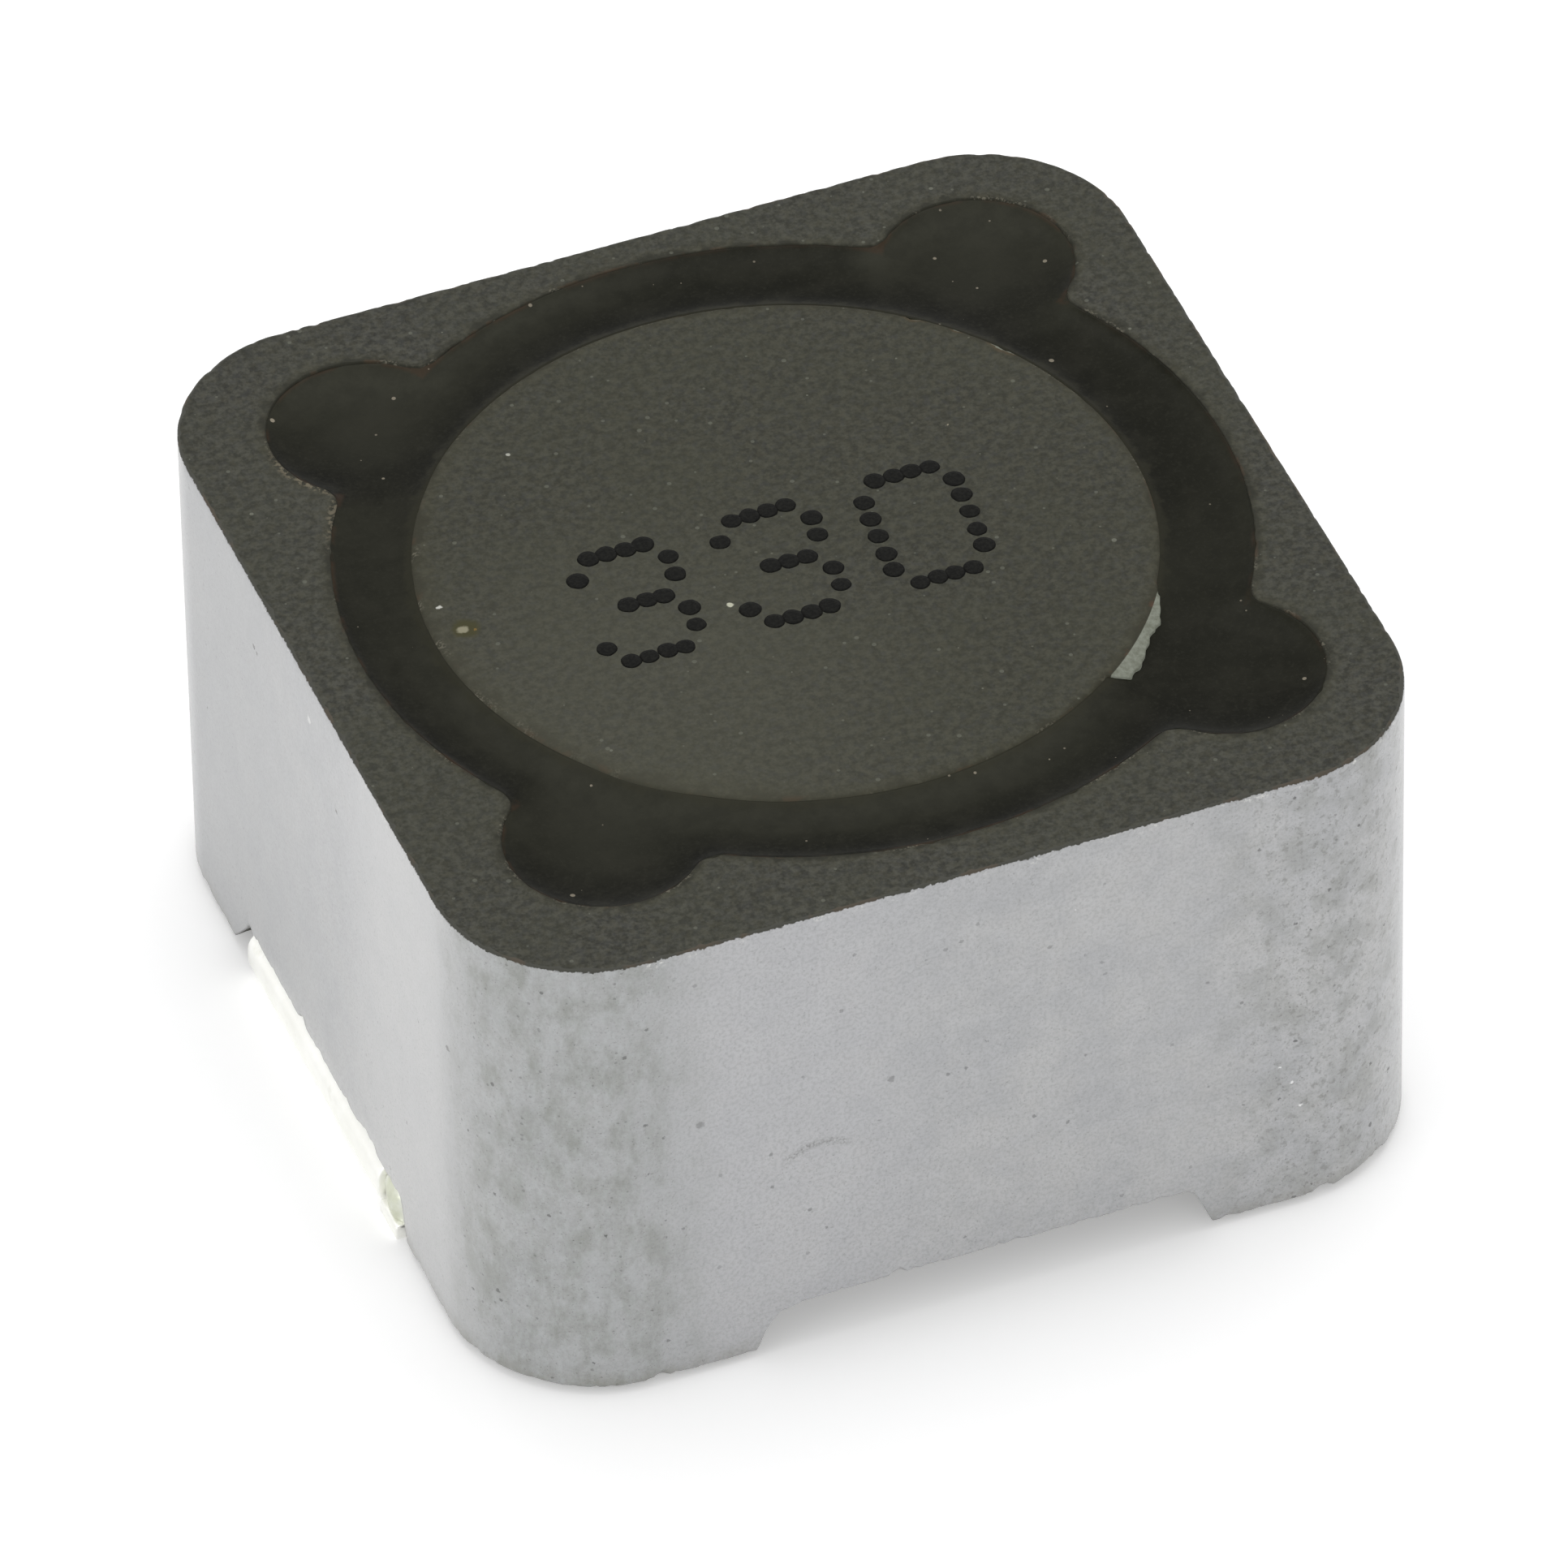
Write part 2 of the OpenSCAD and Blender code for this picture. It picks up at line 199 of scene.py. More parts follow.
class Finish:
    """A surface under way: its shader, its tone so far, and patterns laid out in millimetres.

    Colours are 8-bit ones, and patterns run from 0 to 1.
    """

    def __init__(self, name, colour, roughness, **sockets):
        self.material = bpy.data.materials.new(name)
        self.material.use_nodes = True
        self.nodes = self.material.node_tree.nodes
        self.links = self.material.node_tree.links
        self.shader = self.nodes["Principled BSDF"]
        place = self.add("TexCoord").outputs["Object"]
        self.at = self.add("VectorMath", "SCALE", Vector=place, Scale=1 / MM).outputs["Vector"]
        self.set(Base_Color=colour, Roughness=roughness, **sockets)

    def feed(self, socket, value):
        """Gives a socket what another puts out, a colour, or a number."""
        if isinstance(value, bpy.types.NodeSocket):
            self.links.new(value, socket)
        elif socket.type == "RGBA":
            socket.default_value = (*shade(*value), 1)
        else:
            socket.default_value = value

    def add(self, kind, operation=None, **sockets):
        """Adds a node and feeds its sockets by name."""
        node = self.nodes.new("ShaderNode" + kind)
        if operation:
            node.operation = operation
        for name, value in sockets.items():
            self.feed(node.inputs[name.replace("_", " ")], value)
        return node

    def set(self, **sockets):
        """Feeds the shader's own sockets."""
        for name, value in sockets.items():
            self.feed(self.shader.inputs[name.replace("_", " ")], value)

    def calc(self, operation, *values, kind="Math", result="Value"):
        """A sum on numbers."""
        node = self.add(kind, operation)
        for socket, value in zip(node.inputs, values):
            self.feed(socket, value)
        return node.outputs[result]

    def vector(self, operation, *values, result="Vector"):
        """A sum on vectors."""
        return self.calc(operation, *values, kind="VectorMath", result=result)

    def times(self, first, *others):
        """Product of patterns and numbers."""
        for other in others:
            first = self.calc("MULTIPLY", first, other)
        return first

    def swing(self, pattern, width):
        """The pattern made to swing about 0, width from end to end."""
        return self.times(self.calc("SUBTRACT", pattern, 0.5), width)

    def between(self, value, low, high, start=0.0, end=1.0):
        """Smooth change from start to end while value goes from low to high."""
        node = self.add("MapRange", Value=value, From_Min=low, From_Max=high, To_Min=start, To_Max=end)
        node.interpolation_type = "SMOOTHSTEP"
        return node.outputs["Result"]

    def mix(self, share, a, b):
        """Colour a where share is 0, and b where it is 1."""
        node = self.add("Mix")
        node.data_type = "RGBA"
        self.feed(node.inputs["Factor"], share)
        self.feed(node.inputs[6], a)
        self.feed(node.inputs[7], b)
        return node.outputs[2]

    def mottle(self, pattern, low, high, dark, light):
        """Starts the tone: dark where the pattern is below low, light where it is above high."""
        self.tone = self.mix(self.between(pattern, low, high), dark, light)
        self.set(Base_Color=self.tone)

    def lay(self, colour, *shares):
        """Lays a colour over the tone so far, as thick as the product of the shares."""
        self.tone = self.mix(self.times(*shares), self.tone, colour)
        self.set(Base_Color=self.tone)

    def moved(self, shift, taller=1.0):
        """Where a pattern is taken from, so that no two patterns match."""
        if not shift and taller == 1.0:
            return self.at
        return self.vector("MULTIPLY_ADD", self.at, (1, 1, 1 / taller), (shift, -shift, shift))

    def grain(self, size, detail=2.0, rough=0.5, shift=0.0, taller=1.0):
        """Cloudy pattern whose lumps are about size mm across, and taller by that factor."""
        place = self.moved(shift, taller)
        cloud = self.add("TexNoise", Vector=place, Scale=1 / size, Detail=detail, Roughness=rough)
        return cloud.outputs["Fac"]

    def specks(self, size, radius, kept, shift=0.0, ragged=None):
        """Scattered specks: 1 inside one, 0 outside.

        They lie about size mm apart, and kept is the share of places that have one.
        """
        cells = self.add("TexVoronoi", Vector=self.moved(shift), Scale=1 / size)
        gap = cells.outputs["Distance"]
        if ragged:
            gap = self.calc("ADD", gap, self.swing(ragged, 2.2 * radius / size))
        chance = self.add("SeparateColor", Color=cells.outputs["Color"]).outputs
        spread = self.times(self.calc("ADD", chance[1], 0.3), 0.8 * radius / size)
        return self.times(self.calc("LESS_THAN", gap, spread), self.calc("LESS_THAN", chance[0], kept))

    def away_from(self, x, y, flatten=(1, 1, 0)):
        """Distance in mm from an upright axis, or from a level one if flatten says so."""
        back = iter((-x, -y))
        shift = tuple(next(back) if counts else 0.0 for counts in flatten)
        offset = self.vector("MULTIPLY_ADD", self.at, flatten, shift)
        return self.vector("LENGTH", offset, result="Value")

    def from_bore(self):
        """Distances in mm from the bore's outline and from its lobes alone; negative inside."""
        flat = self.vector("MULTIPLY_ADD", self.at, (1, 1, 0), (-bore_centre.x, -bore_centre.y, 0))
        out = half_side - lobe_wall - lobe_r
        lobe = self.vector("SUBTRACT", self.vector("ABSOLUTE", flat), (out, out, 0))
        gaps = [
            self.calc("SUBTRACT", self.vector("LENGTH", offset, result="Value"), radius)
            for offset, radius in ((flat, bore_r), (lobe, lobe_r))
        ]
        return self.calc("MINIMUM", *gaps), gaps[1]

    def mark(self, x, y, radius, colour, uneven, flatten=(1, 1, 0)):
        """A small round mark with an uneven edge."""
        gap = self.calc("ADD", self.away_from(x, y, flatten), uneven)
        self.lay(colour, self.between(gap, 1.3 * radius, 0.7 * radius))

    def relief(self, height, depth):
        """Raises the surface by depth mm where height is 1."""
        bump = self.add("Bump", Distance=depth * MM, Strength=1.0, Height=height)
        normal = self.shader.inputs["Normal"]
        if normal.is_linked:
            self.feed(bump.inputs["Normal"], normal.links[0].from_socket)
        self.feed(normal, bump.outputs["Normal"])


def make_piece(name, points, faces, finishes, finish_of=None, smooth=None, weld=0.0001, slits=False):
    """Mesh object from points in mm. finish_of and smooth give a number for each face.

    Points closer than weld become one; slits says that open edges are to be closed.
    """
    mesh = bpy.data.meshes.new(name)
    mesh.from_pydata([tuple(c * MM for c in p) for p in points], [], faces)
    for finish in finishes:
        mesh.materials.append(finish.material)
    if finish_of:
        mesh.polygons.foreach_set("material_index", finish_of)
    mesh.polygons.foreach_set("use_smooth", smooth if smooth else [True] * len(mesh.polygons))
    # Points that meet become one, so that the piece is closed and faces outwards all round
    welded = bmesh.new()
    welded.from_mesh(mesh)
    bmesh.ops.remove_doubles(welded, verts=welded.verts, dist=weld * MM)
    bmesh.ops.dissolve_degenerate(welded, edges=welded.edges, dist=weld * MM / 2)
    if slits:
        open_edges = [edge for edge in welded.edges if edge.is_boundary]
        bmesh.ops.holes_fill(welded, edges=open_edges, sides=0)
    bmesh.ops.recalc_face_normals(welded, faces=welded.faces)
    welded.to_mesh(mesh)
    welded.free()
    mesh.update()
    piece = bpy.data.objects.new(name, mesh)
    bpy.context.collection.objects.link(piece)
    return piece


def arc(centre, radius, start, end, outward, spacing):
    """Points and normals along an arc; outward is 1 where the ferrite lies outside it."""
    count = max(3, math.ceil(abs(end - start) * radius / spacing))
    rows = []
    for i in range(count):
        a = start + (end - start) * i / count
        ray = Vector((math.cos(a), math.sin(a)))
        rows.append((centre + radius * ray, outward * ray))
    return rows


def bearing(v):
    """Angle of a vector from +X, in radians."""
    return math.atan2(v.y, v.x)


def bore_rows(spacing):
    """Outline of the bore, anticlockwise, with the normal into the ferrite at each point."""
    inset = lobe_wall + lobe_r
    rows = []
    for quarter in range(4):
        sx, sy = ((1, 1), (-1, 1), (-1, -1), (1, -1))[quarter]
        lobe = bore_centre + Vector((sx, sy)) * (half_side - inset)
        v = lobe - bore_centre
        d = v.length
        u = v / d
        side = Vector((-u.y, u.x))
        reach = bore_r + neck_r
        along = (reach**2 - (lobe_r + neck_r) ** 2 + d * d) / (2 * d)
        across = math.sqrt(reach**2 - along**2)
        first, second = (bore_centre + along * u + way * across * side for way in (-1, 1))
        # Neck in, lobe, neck out, then the bore as far as the next neck
        a0, a1 = bearing(bore_centre - first), bearing(lobe - first)
        if a1 > a0:
            a1 -= 2 * math.pi
        rows += arc(first, neck_r, a0, a1, -1, spacing)
        b0, b1 = bearing(first - lobe), bearing(second - lobe)
        if b1 < b0:
            b1 += 2 * math.pi
        rows += arc(lobe, lobe_r, b0, b1, 1, spacing)
        c0, c1 = bearing(lobe - second), bearing(bore_centre - second)
        if c1 > c0:
            c1 -= 2 * math.pi
        rows += arc(second, neck_r, c0, c1, -1, spacing)
        start = bearing(second - bore_centre)
        next_first = start + 2 * (math.pi / 4 - (start - bearing(v)))
        rows += arc(bore_centre, bore_r, start, next_first, 1, spacing)
    return rows


def outer_rows(spacing):
    """Outline of the shield, anticlockwise, with its outward normals."""
    rows = []
    flat = half_side - corner_r
    for quarter in range(4):
        a = quarter * math.pi / 2
        turned = Matrix.Rotation(a, 2)
        count = math.ceil(2 * flat / spacing)
        stops = {-flat + 2 * flat * i / count for i in range(count)}
        stops |= {s * c for s in (-1, 1) for c in recess_creases()}
        for y in sorted(stops):
            rows.append((turned @ Vector((half_side, y)), turned @ Vector((1, 0))))
        centre = turned @ Vector((flat, flat))
        rows += arc(centre, corner_r, a, a + math.pi / 2, 1, spacing)
    return rows


def recess_creases():
    """Distances from the middle at which the recess profile changes slope."""
    slope = math.hypot(recess_foot - recess_top, recess_h)
    angle = math.atan2(recess_h, recess_foot - recess_top)
    back_off = recess_r / math.tan((math.pi - angle) / 2)
    level_end = recess_top - back_off
    slope_start = recess_top + back_off * (recess_foot - recess_top) / slope
    curve = [level_end + (slope_start - level_end) * i / crease_steps for i in range(crease_steps + 1)]
    return curve + [recess_foot]


def recess_height(u):
    """Height of the recess above the feet at a distance u from its middle."""
    creases = recess_creases()
    u = abs(u)
    if u <= creases[0]:
        return recess_h
    if u >= recess_foot:
        return 0.0
    if u < creases[-2]:
        return recess_h - recess_r + math.sqrt(max(0.0, recess_r**2 - (u - creases[0]) ** 2))
    return recess_h * (recess_foot - u) / (recess_foot - recess_top)


def underside(p):
    """Height of the shield's underside at a place seen from below."""
    height = max(recess_height(p.x), recess_height(p.y))
    if p.y < -worn_band and -recess_foot < p.x < 0:
        height = recess_h * (1 - math.exp(-max(0.0, front_foot + p.x) / front_curve))
    if p.x < -worn_band and abs(p.y) > left_worn_from:
        if p.y > 0:
            height = recess_h * min(1.0, max(0.0, left_far_foot - p.y) / left_far_run)
        else:
            height = recess_h * (1 - math.exp(-((max(0.0, left_near_foot + p.y) / left_near_curve) ** 2)))
    flake = max(0.0, 1 - ((p.y - flake_y) / flake_half_l) ** 2) if p.x < -flake_out else 0.0
    return foot_z + height + flake_depth * flake


def crumble(p, size, seed):
    """Noise from 0 to 1, mostly near 0, for the crumbled edges of pressed powder.

    Its lumps are about size mm across, and each seed gives others.
    """
    value = noise.noise(Vector((p.x / size, p.y / size, seed)))
    return max(0.0, value) ** 1.5


def fill_between(outer, inner, extra_lines=()):
    """Triangles between two closed outlines, cut along the extra lines as well."""
    points = [Vector(p) for p in outer] + [Vector(p) for p in inner]
    edges = [(i, (i + 1) % len(outer)) for i in range(len(outer))]
    offset = len(outer)
    edges += [(offset + i, offset + (i + 1) % len(inner)) for i in range(len(inner))]
    for a, b in extra_lines:
        edges.append((len(points), len(points) + 1))
        points += [Vector(a), Vector(b)]
    filled = geometry.delaunay_2d_cdt(points, edges, [], 0, 1e-7)
    return filled[0], filled[2], filled[3]


def polar(ring):
    """Bearings and distances of an outline's points from the bore's centre, sorted."""
    spokes = [Vector(p[:2]) - bore_centre for p in ring]
    return sorted((bearing(v), v.length) for v in spokes)


def radius_at(outline_polar, angle):
    """Distance of an outline from the bore's centre at a bearing."""
    i = bisect_left(outline_polar, angle, key=lambda spoke: spoke[0])
    a, b = outline_polar[i - 1], outline_polar[i % len(outline_polar)]
    span = (b[0] - a[0]) % (2 * math.pi)
    share = ((angle - a[0]) % (2 * math.pi)) / span if span > 1e-12 else 0.0
    return a[1] + (b[1] - a[1]) * share


outline = outer_rows(step)
bore = bore_rows(step)
points, faces, finish_of, smooth = [], [], [], []
ROUGH_SKIN, GROUND = 0, 1


def add_band(rings, finish, flip=False):
    """Quads between closed rings of points, each ring as long as the first."""
    start = len(points)
    count = len(rings[0])
    for ring in rings:
        points.extend(ring)
    for r in range(len(rings) - 1):
        near, far = start + r * count, start + (r + 1) * count
        for i in range(count):
            j = (i + 1) % count
            quad = (near + i, near + j, far + j, far + i)
            faces.append(quad[::-1] if flip else quad)
            finish_of.append(finish)
            smooth.append(True)


# Outer wall: rounded bottom edge with bites out of it, ground face, rounded top edge
wall_rings = []
for i in range(arc_steps + 1):
    a = math.pi / 2 * i / arc_steps
    ring = []
    for p, n in outline:
        bottom = underside(p)
        round_r = edge_r * (0.6 + 1.2 * crumble(p, 0.35, 3.1)) if bottom < foot_z + 0.01 else 0.03
        bite = 0.22 * crumble(p, 0.3, 8.0) + 0.1 * crumble(p, 0.09, 4.0)
        q = p - n * (round_r * (1 - math.sin(a)) + bite * (1 - math.sin(a)))
        ring.append((q.x, q.y, bottom + (round_r + bite) * (1 - math.cos(a))))
    wall_rings.append(ring)
wall_rings.append([(p.x, p.y, underside(p) + 0.3) for p, n in outline])
for below_top in (3.2, 0.24, 0.2):
    wall_rings.append([(p.x, p.y, top_z - below_top) for p, n in outline])
for i in range(arc_steps + 1):
    a = math.pi / 2 * i / arc_steps
    ring = []
    for p, n in outline:
        round_r = edge_r * (0.4 + 0.7 * crumble(p, 0.3, 1.7))
        bite = 0.07 * crumble(p, 0.12, 5.2)
        q = p - n * (round_r + bite) * (1 - math.cos(a))
        ring.append((q.x, q.y, top_z - (round_r + bite) * (1 - math.sin(a))))
    wall_rings.append(ring)
add_band(wall_rings, GROUND)

# Bore: a small broken edge at the top, then straight down to the underside
bore_rings = []
for lip in (0.0, 0.35, 1.0):
    ring = []
    for p, n in bore:
        worn = bore_edge * (0.7 + 1.5 * crumble(p, 0.15, 2.4))
        q = p + n * worn * (1 - lip)
        ring.append((q.x, q.y, top_z - worn * lip))
    bore_rings.append(ring)
bore_rings.append([(p.x, p.y, (top_z + foot_z) / 2) for p, n in bore])
bore_rings.append([(p.x, p.y, underside(p)) for p, n in bore])
add_band(bore_rings, ROUGH_SKIN, flip=True)

# Flat top, and the underside with its four recesses
for level, outer_ring, inner_ring, up_face in (
    ("top", wall_rings[-1], bore_rings[0], True),
    ("under", wall_rings[0], bore_rings[-1], False),
):
    lines = []
    if level == "under":
        for c in [sign * crease for crease in recess_creases() for sign in (-1, 1)]:
            lines += [((c, -half_side), (c, half_side)), ((-half_side, c), (half_side, c))]
    flat_points, flat_faces, origins = fill_between(
        [p[:2] for p in outer_ring], [p[:2] for p in inner_ring], lines
    )
    ring_z = [p[2] for p in outer_ring + inner_ring]
    start = len(points)
    for p, came in zip(flat_points, origins):
        known = [o for o in came if o < len(ring_z)]
        if level == "top":
            z = top_z
        else:
            z = ring_z[known[0]] if known else underside(p)
        points.append((p.x, p.y, z))
    # Triangles inside the bore or outside the block are left out
    bore_polar, outer_polar = polar(inner_ring), polar(outer_ring)
    for face in flat_faces:
        middle = sum((flat_points[i] for i in face), Vector((0, 0))) / len(face) - bore_centre
        angle = bearing(middle)
        if not radius_at(bore_polar, angle) < middle.length < radius_at(outer_polar, angle):
            continue
        corners = tuple(start + i for i in face)
        a, b, c = (flat_points[i] for i in face[:3])
        anticlockwise = (b - a).cross(c - a) > 0
        faces.append(corners if anticlockwise == up_face else corners[::-1])
        finish_of.append(ROUGH_SKIN)
        smooth.append(False)


def pressed_skin(name, dark, light, film, to_epoxy):
    """Skin of pressed and fired ferrite powder: mottled grains, browner beside the epoxy.

    film is the colour of the thin film that the epoxy leaves, and to_epoxy gives the distance to it.
    """
    skin = Finish(name, light, 0.62, Specular_IOR_Level=0.15)
    fine = skin.grain(0.045, 3.0, 0.6)
    coarse = skin.grain(0.11, 3.0, 0.6, 6.0)
    both = skin.calc("ADD", skin.times(fine, 0.4), skin.times(coarse, 0.6))
    skin.mottle(both, 0.36, 0.66, dark, light)
    tint = skin.grain(0.09, 2.0, 0.5, 11.0)
    skin.lay((72, 70, 58), skin.between(tint, 0.5, 0.72, 0.0, 0.45))
    skin.lay((58, 59, 58), skin.between(tint, 0.5, 0.3, 0.0, 0.45))
    broad = skin.grain(1.7, 3.0, 0.5, 4.0)
    skin.lay((66, 67, 52), skin.between(broad, 0.3, 0.7, 0.0, 0.25))
    # Beside the epoxy: a brown stain, then a film whose edge wanders
    gap = to_epoxy(skin)
    skin.lay((66, 64, 46), skin.between(gap, 0.22, 0.0, 0.0, 0.35))
    wander = skin.swing(skin.grain(0.22, 4.0, 0.65, 14.0), 0.4)
    skin.lay(film, skin.between(skin.calc("ADD", gap, wander), 0.11, 0.0, 0.0, 0.85))
    # Pale crumbs and a little rust along the very edge
    crumbs = skin.between(skin.grain(0.035, 3.0, 0.6, 27.0), 0.5, 0.6)
    crumbly = skin.between(skin.grain(0.5, 2.0, 0.5, 33.0), 0.52, 0.66, 0.0, 0.7)
    skin.lay((120, 116, 102), skin.between(gap, 0.07, 0.02), crumbs, crumbly)
    rusty = skin.between(skin.grain(0.4, 3.0, 0.6, 19.0), 0.55, 0.68)
    skin.lay((84, 64, 46), skin.between(gap, 0.06, 0.02), rusty, 0.35)
    for size, radius, kept, strength in ((0.17, 0.03, 0.3, 0.35), (0.4, 0.035, 0.25, 0.6)):
        skin.lay((124, 126, 114), skin.specks(size, radius, kept, size * 40), strength)
    skin.relief(both, 0.005)
    return skin


skin = pressed_skin(
    "pressed_ferrite", (46, 46, 40), (79, 79, 71), (40, 40, 32), lambda finish: finish.from_bore()[0]
)
# Pale brownish crumbs where the left lobe's edge was scraped
beside_lobe = skin.between(skin.away_from(-5.3, 3.1), 1.1, 0.6)
at_edge = skin.between(skin.from_bore()[0], 0.14, 0.04)
crumbs = skin.between(skin.grain(0.07, 3.0, 0.6, 37.0), 0.48, 0.6)
skin.lay((124, 116, 98), beside_lobe, at_edge, crumbs, 0.75)

# The sides' light grey is painted: it stands in for the white surroundings reflected in the dark ground
# ferrite
ground = Finish("ground_ferrite_painted_reflection", (178, 179, 181), 0.24, Specular_IOR_Level=0.5)
cloud = ground.grain(0.8, 4.0, 0.6)
patch = ground.grain(0.28, 4.0, 0.65, 8.0)
fine = ground.grain(0.05, 3.0, 0.7, 2.0)
ragged = ground.grain(0.03, 3.0, 0.7, 5.0)
# The near corner and the front's right end are the most stained and pitted, and the near corner is also
# painted darker as a dimmer reflection
corner = ground.between(ground.away_from(-5.2, -5.6), 2.2, 0.8)
end = ground.between(ground.away_from(4.7, -5.9), 2.3, 0.5)
pitted = ground.between(ground.grain(3.2, 2.0, 0.5, 21.0), 0.45, 0.65, 0.1, 0.5)
pitted = ground.calc("MAXIMUM", pitted, ground.calc("MAXIMUM", end, ground.times(corner, 0.8)))
ground.mottle(cloud, 0.3, 0.7, (180, 181, 183), (191, 191, 191))
# Painted sheen: the front's left part is painted lighter, standing in for the white surroundings reflected
# there
front_left_painted_sheen = ground.between(ground.away_from(-3.0, -6.0), 3.2, 0.8, 0.0, 0.5)
ground.lay((196, 196, 199), front_left_painted_sheen)
ground.lay((198, 199, 201), ground.between(patch, 0.4, 0.66, 0.0, 0.35))
# Painted reflection: the near corner is darkened, standing in for the dimmer surroundings it reflects
ground.lay((162, 164, 163), corner, 0.5)
ground.lay((152, 153, 153), ground.between(fine, 0.56, 0.38, 0.0, 0.32))
streaks = ground.between(ground.grain(0.1, 4.0, 0.7, 31.0, 1.6), 0.45, 0.62, 0.0, 0.45)
ground.lay((186, 190, 190), streaks, corner)
stains = ground.between(ground.grain(0.34, 5.0, 0.68, 7.0, 1.9), 0.4, 0.72)
ground.lay((137, 140, 132), stains, corner, 0.65)
clusters = ground.between(ground.grain(0.45, 3.0, 0.6, 29.0), 0.42, 0.7)
ground.lay((130, 132, 125), clusters, end, 0.42)
spots = ground.between(ground.grain(0.1, 3.0, 0.6, 17.0), 0.55, 0.65)
ground.lay((116, 117, 110), spots, end, 0.4)
far_left = ground.between(ground.away_from(-6.0, 6.0), 9.0, 3.0, 0.0, 0.5)
ground.lay((158, 159, 160), far_left)
# Painted reflection: the near part of the left side is painted lighter, standing in for white surroundings
# seen at a grazing angle
near_left_painted_sheen = ground.between(ground.away_from(-6.0, -3.0), 2.6, 0.6, 0.0, 0.45)
ground.lay((212, 212, 211), near_left_painted_sheen)
ground.lay((124, 124, 121), ground.between(ragged, 0.58, 0.72), ground.calc("ADD", pitted, 0.4), 0.6)
# Pores: distance apart, radius, share of the places that have one, strength
for size, radius, kept, strength in (
    (0.09, 0.02, 0.25, 0.45), (0.22, 0.032, 0.25, 0.8), (0.6, 0.05, 0.35, 1.0)
):
    pores = ground.specks(size, radius, kept, size * 30, ragged)
    ground.lay((62, 62, 59), pores, ground.calc("ADD", pitted, 0.45), 0.6 * strength)
# Curved scuff on the front side
across_front, across_left = (1, 0, 1), (0, 1, 1)
scuff_r = 0.62
from_scuff = ground.calc("SUBTRACT", ground.away_from(-2.0, 2.55, across_front), scuff_r)
scuff = ground.between(ground.calc("ABSOLUTE", from_scuff), 0.09, 0.0)
on_front = ground.between(ground.away_from(-2.05, -6.0), 0.75, 0.45)
upper = ground.between(ground.away_from(-2.05, 3.15, across_front), 0.55, 0.3)
ground.lay((118, 118, 114), scuff, on_front, upper, ground.between(ragged, 0.4, 0.6), 0.55)
ground.lay((238, 238, 238), ground.specks(0.7, 0.03, 0.15, 17.0, ragged), 0.7)
# Nicks and scrapes: two coordinates on the face, radius, colour, and which face
uneven = ground.swing(ragged, 0.1)
for first, second, radius, colour, face in (
    (3.95, 2.0, 0.025, (240, 240, 240), across_front),
    (4.05, 1.6, 0.018, (240, 240, 240), across_front),
    (3.8, 2.3, 0.014, (236, 236, 236), across_front),
    (1.93, 5.73, 0.035, (92, 92, 88), across_left),
    (1.84, 5.7, 0.025, (96, 96, 92), across_left),
    (0.05, 6.14, 0.05, (214, 214, 213), across_left),
    (-0.8, 5.4, 0.025, (110, 110, 106), across_left),
):
    ground.mark(first, second, radius, colour, uneven, face)
# Low down, the edges of the feet are grimy
level = ground.add("SeparateXYZ", Vector=ground.at).outputs["Z"]
low_down = ground.between(level, foot_z + 0.35, foot_z)
ground.lay((134, 132, 120), low_down, ground.between(patch, 0.3, 0.6), 0.45)
# The ground face ends where the surface turns away from upright, along a crumbled line
normal = ground.add("NewGeometry").outputs["Normal"]
tilt = ground.calc("ABSOLUTE", ground.add("SeparateXYZ", Vector=normal).outputs["Z"])
turning = ground.between(tilt, 0.02, 0.12)
upper_half = ground.between(level, 3.0, 4.0)
crumbs = ground.grain(0.05, 3.0, 0.7, 5.0)
chalky = ground.between(ground.grain(0.3, 2.0, 0.5, 13.0), 0.52, 0.6)
ground.lay((232, 232, 228), turning, ground.between(crumbs, 0.5, 0.58), chalky, upper_half, 0.8)
rust = ground.between(ground.grain(0.5, 3.0, 0.6, 23.0), 0.5, 0.62)
dark_edge = ground.mix(ground.times(rust, 0.3), (58, 58, 50), (92, 72, 52))
crumbled = ground.times(ground.swing(crumbs, 1.6), turning)
edge = ground.between(ground.calc("ADD", tilt, crumbled), 0.3, 0.5)
edge = ground.times(edge, ground.between(upper_half, 0.0, 1.0, 0.35, 1.0))
ground.lay(dark_edge, edge)
ground.set(Roughness=ground.between(edge, 0.0, 1.0, 0.24, 0.7))
ground.relief(fine, 0.0015)

shield = make_piece("shield", points, faces, [skin, ground], finish_of, smooth, weld=0.004, slits=True)
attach(shield, "root")
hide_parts("shield_core")


# ---- Drum ------------------------------------------------------------------------------------
# A round spool of the same pressed ferrite, two flanges on a post that carries the coil. It is
# set flush with the shield's top. Handling has chipped its top rim and split a sliver off it.
low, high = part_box("drum_core")
drum_centre = Vector((low.x + high.x, low.y + high.y)) / 2 / MM
flange_r = (high.x - low.x) / 2 / MM
drum_foot_z = low.z / MM
flange_t = 1.1
post_r = 2.5
rim_r = 0.08
# Chips: bearing in degrees from +X, length along the rim, reach in from it, depth
chips = [(48.2, 0.3, 0.06, 0.05), (32.5, 0.42, 0.07, 0.05), (41.0, 0.16, 0.04, 0.03)]
# The rim's lower edge stands out where the sliver has split off: bearing, width of the break
split_widths = [
    (-53.0, 0.0), (-51.0, 0.21), (-47.5, 0.2), (-43.5, 0.13), (-41.0, 0.12), (-38.5, 0.16),
    (-36.0, 0.11), (-32.5, 0.04), (-30.0, 0.0),
]
split_bearing, split_l = -41.5, 1.8
split_slope = 0.25
split_from = 0.02
split_foot_depth = 0.2
drum_sides = 420
chip_step = 0.02
rim_step = 0.025
chip_zone = 0.3
split_blend = 0.05
post_fillet = 0.04


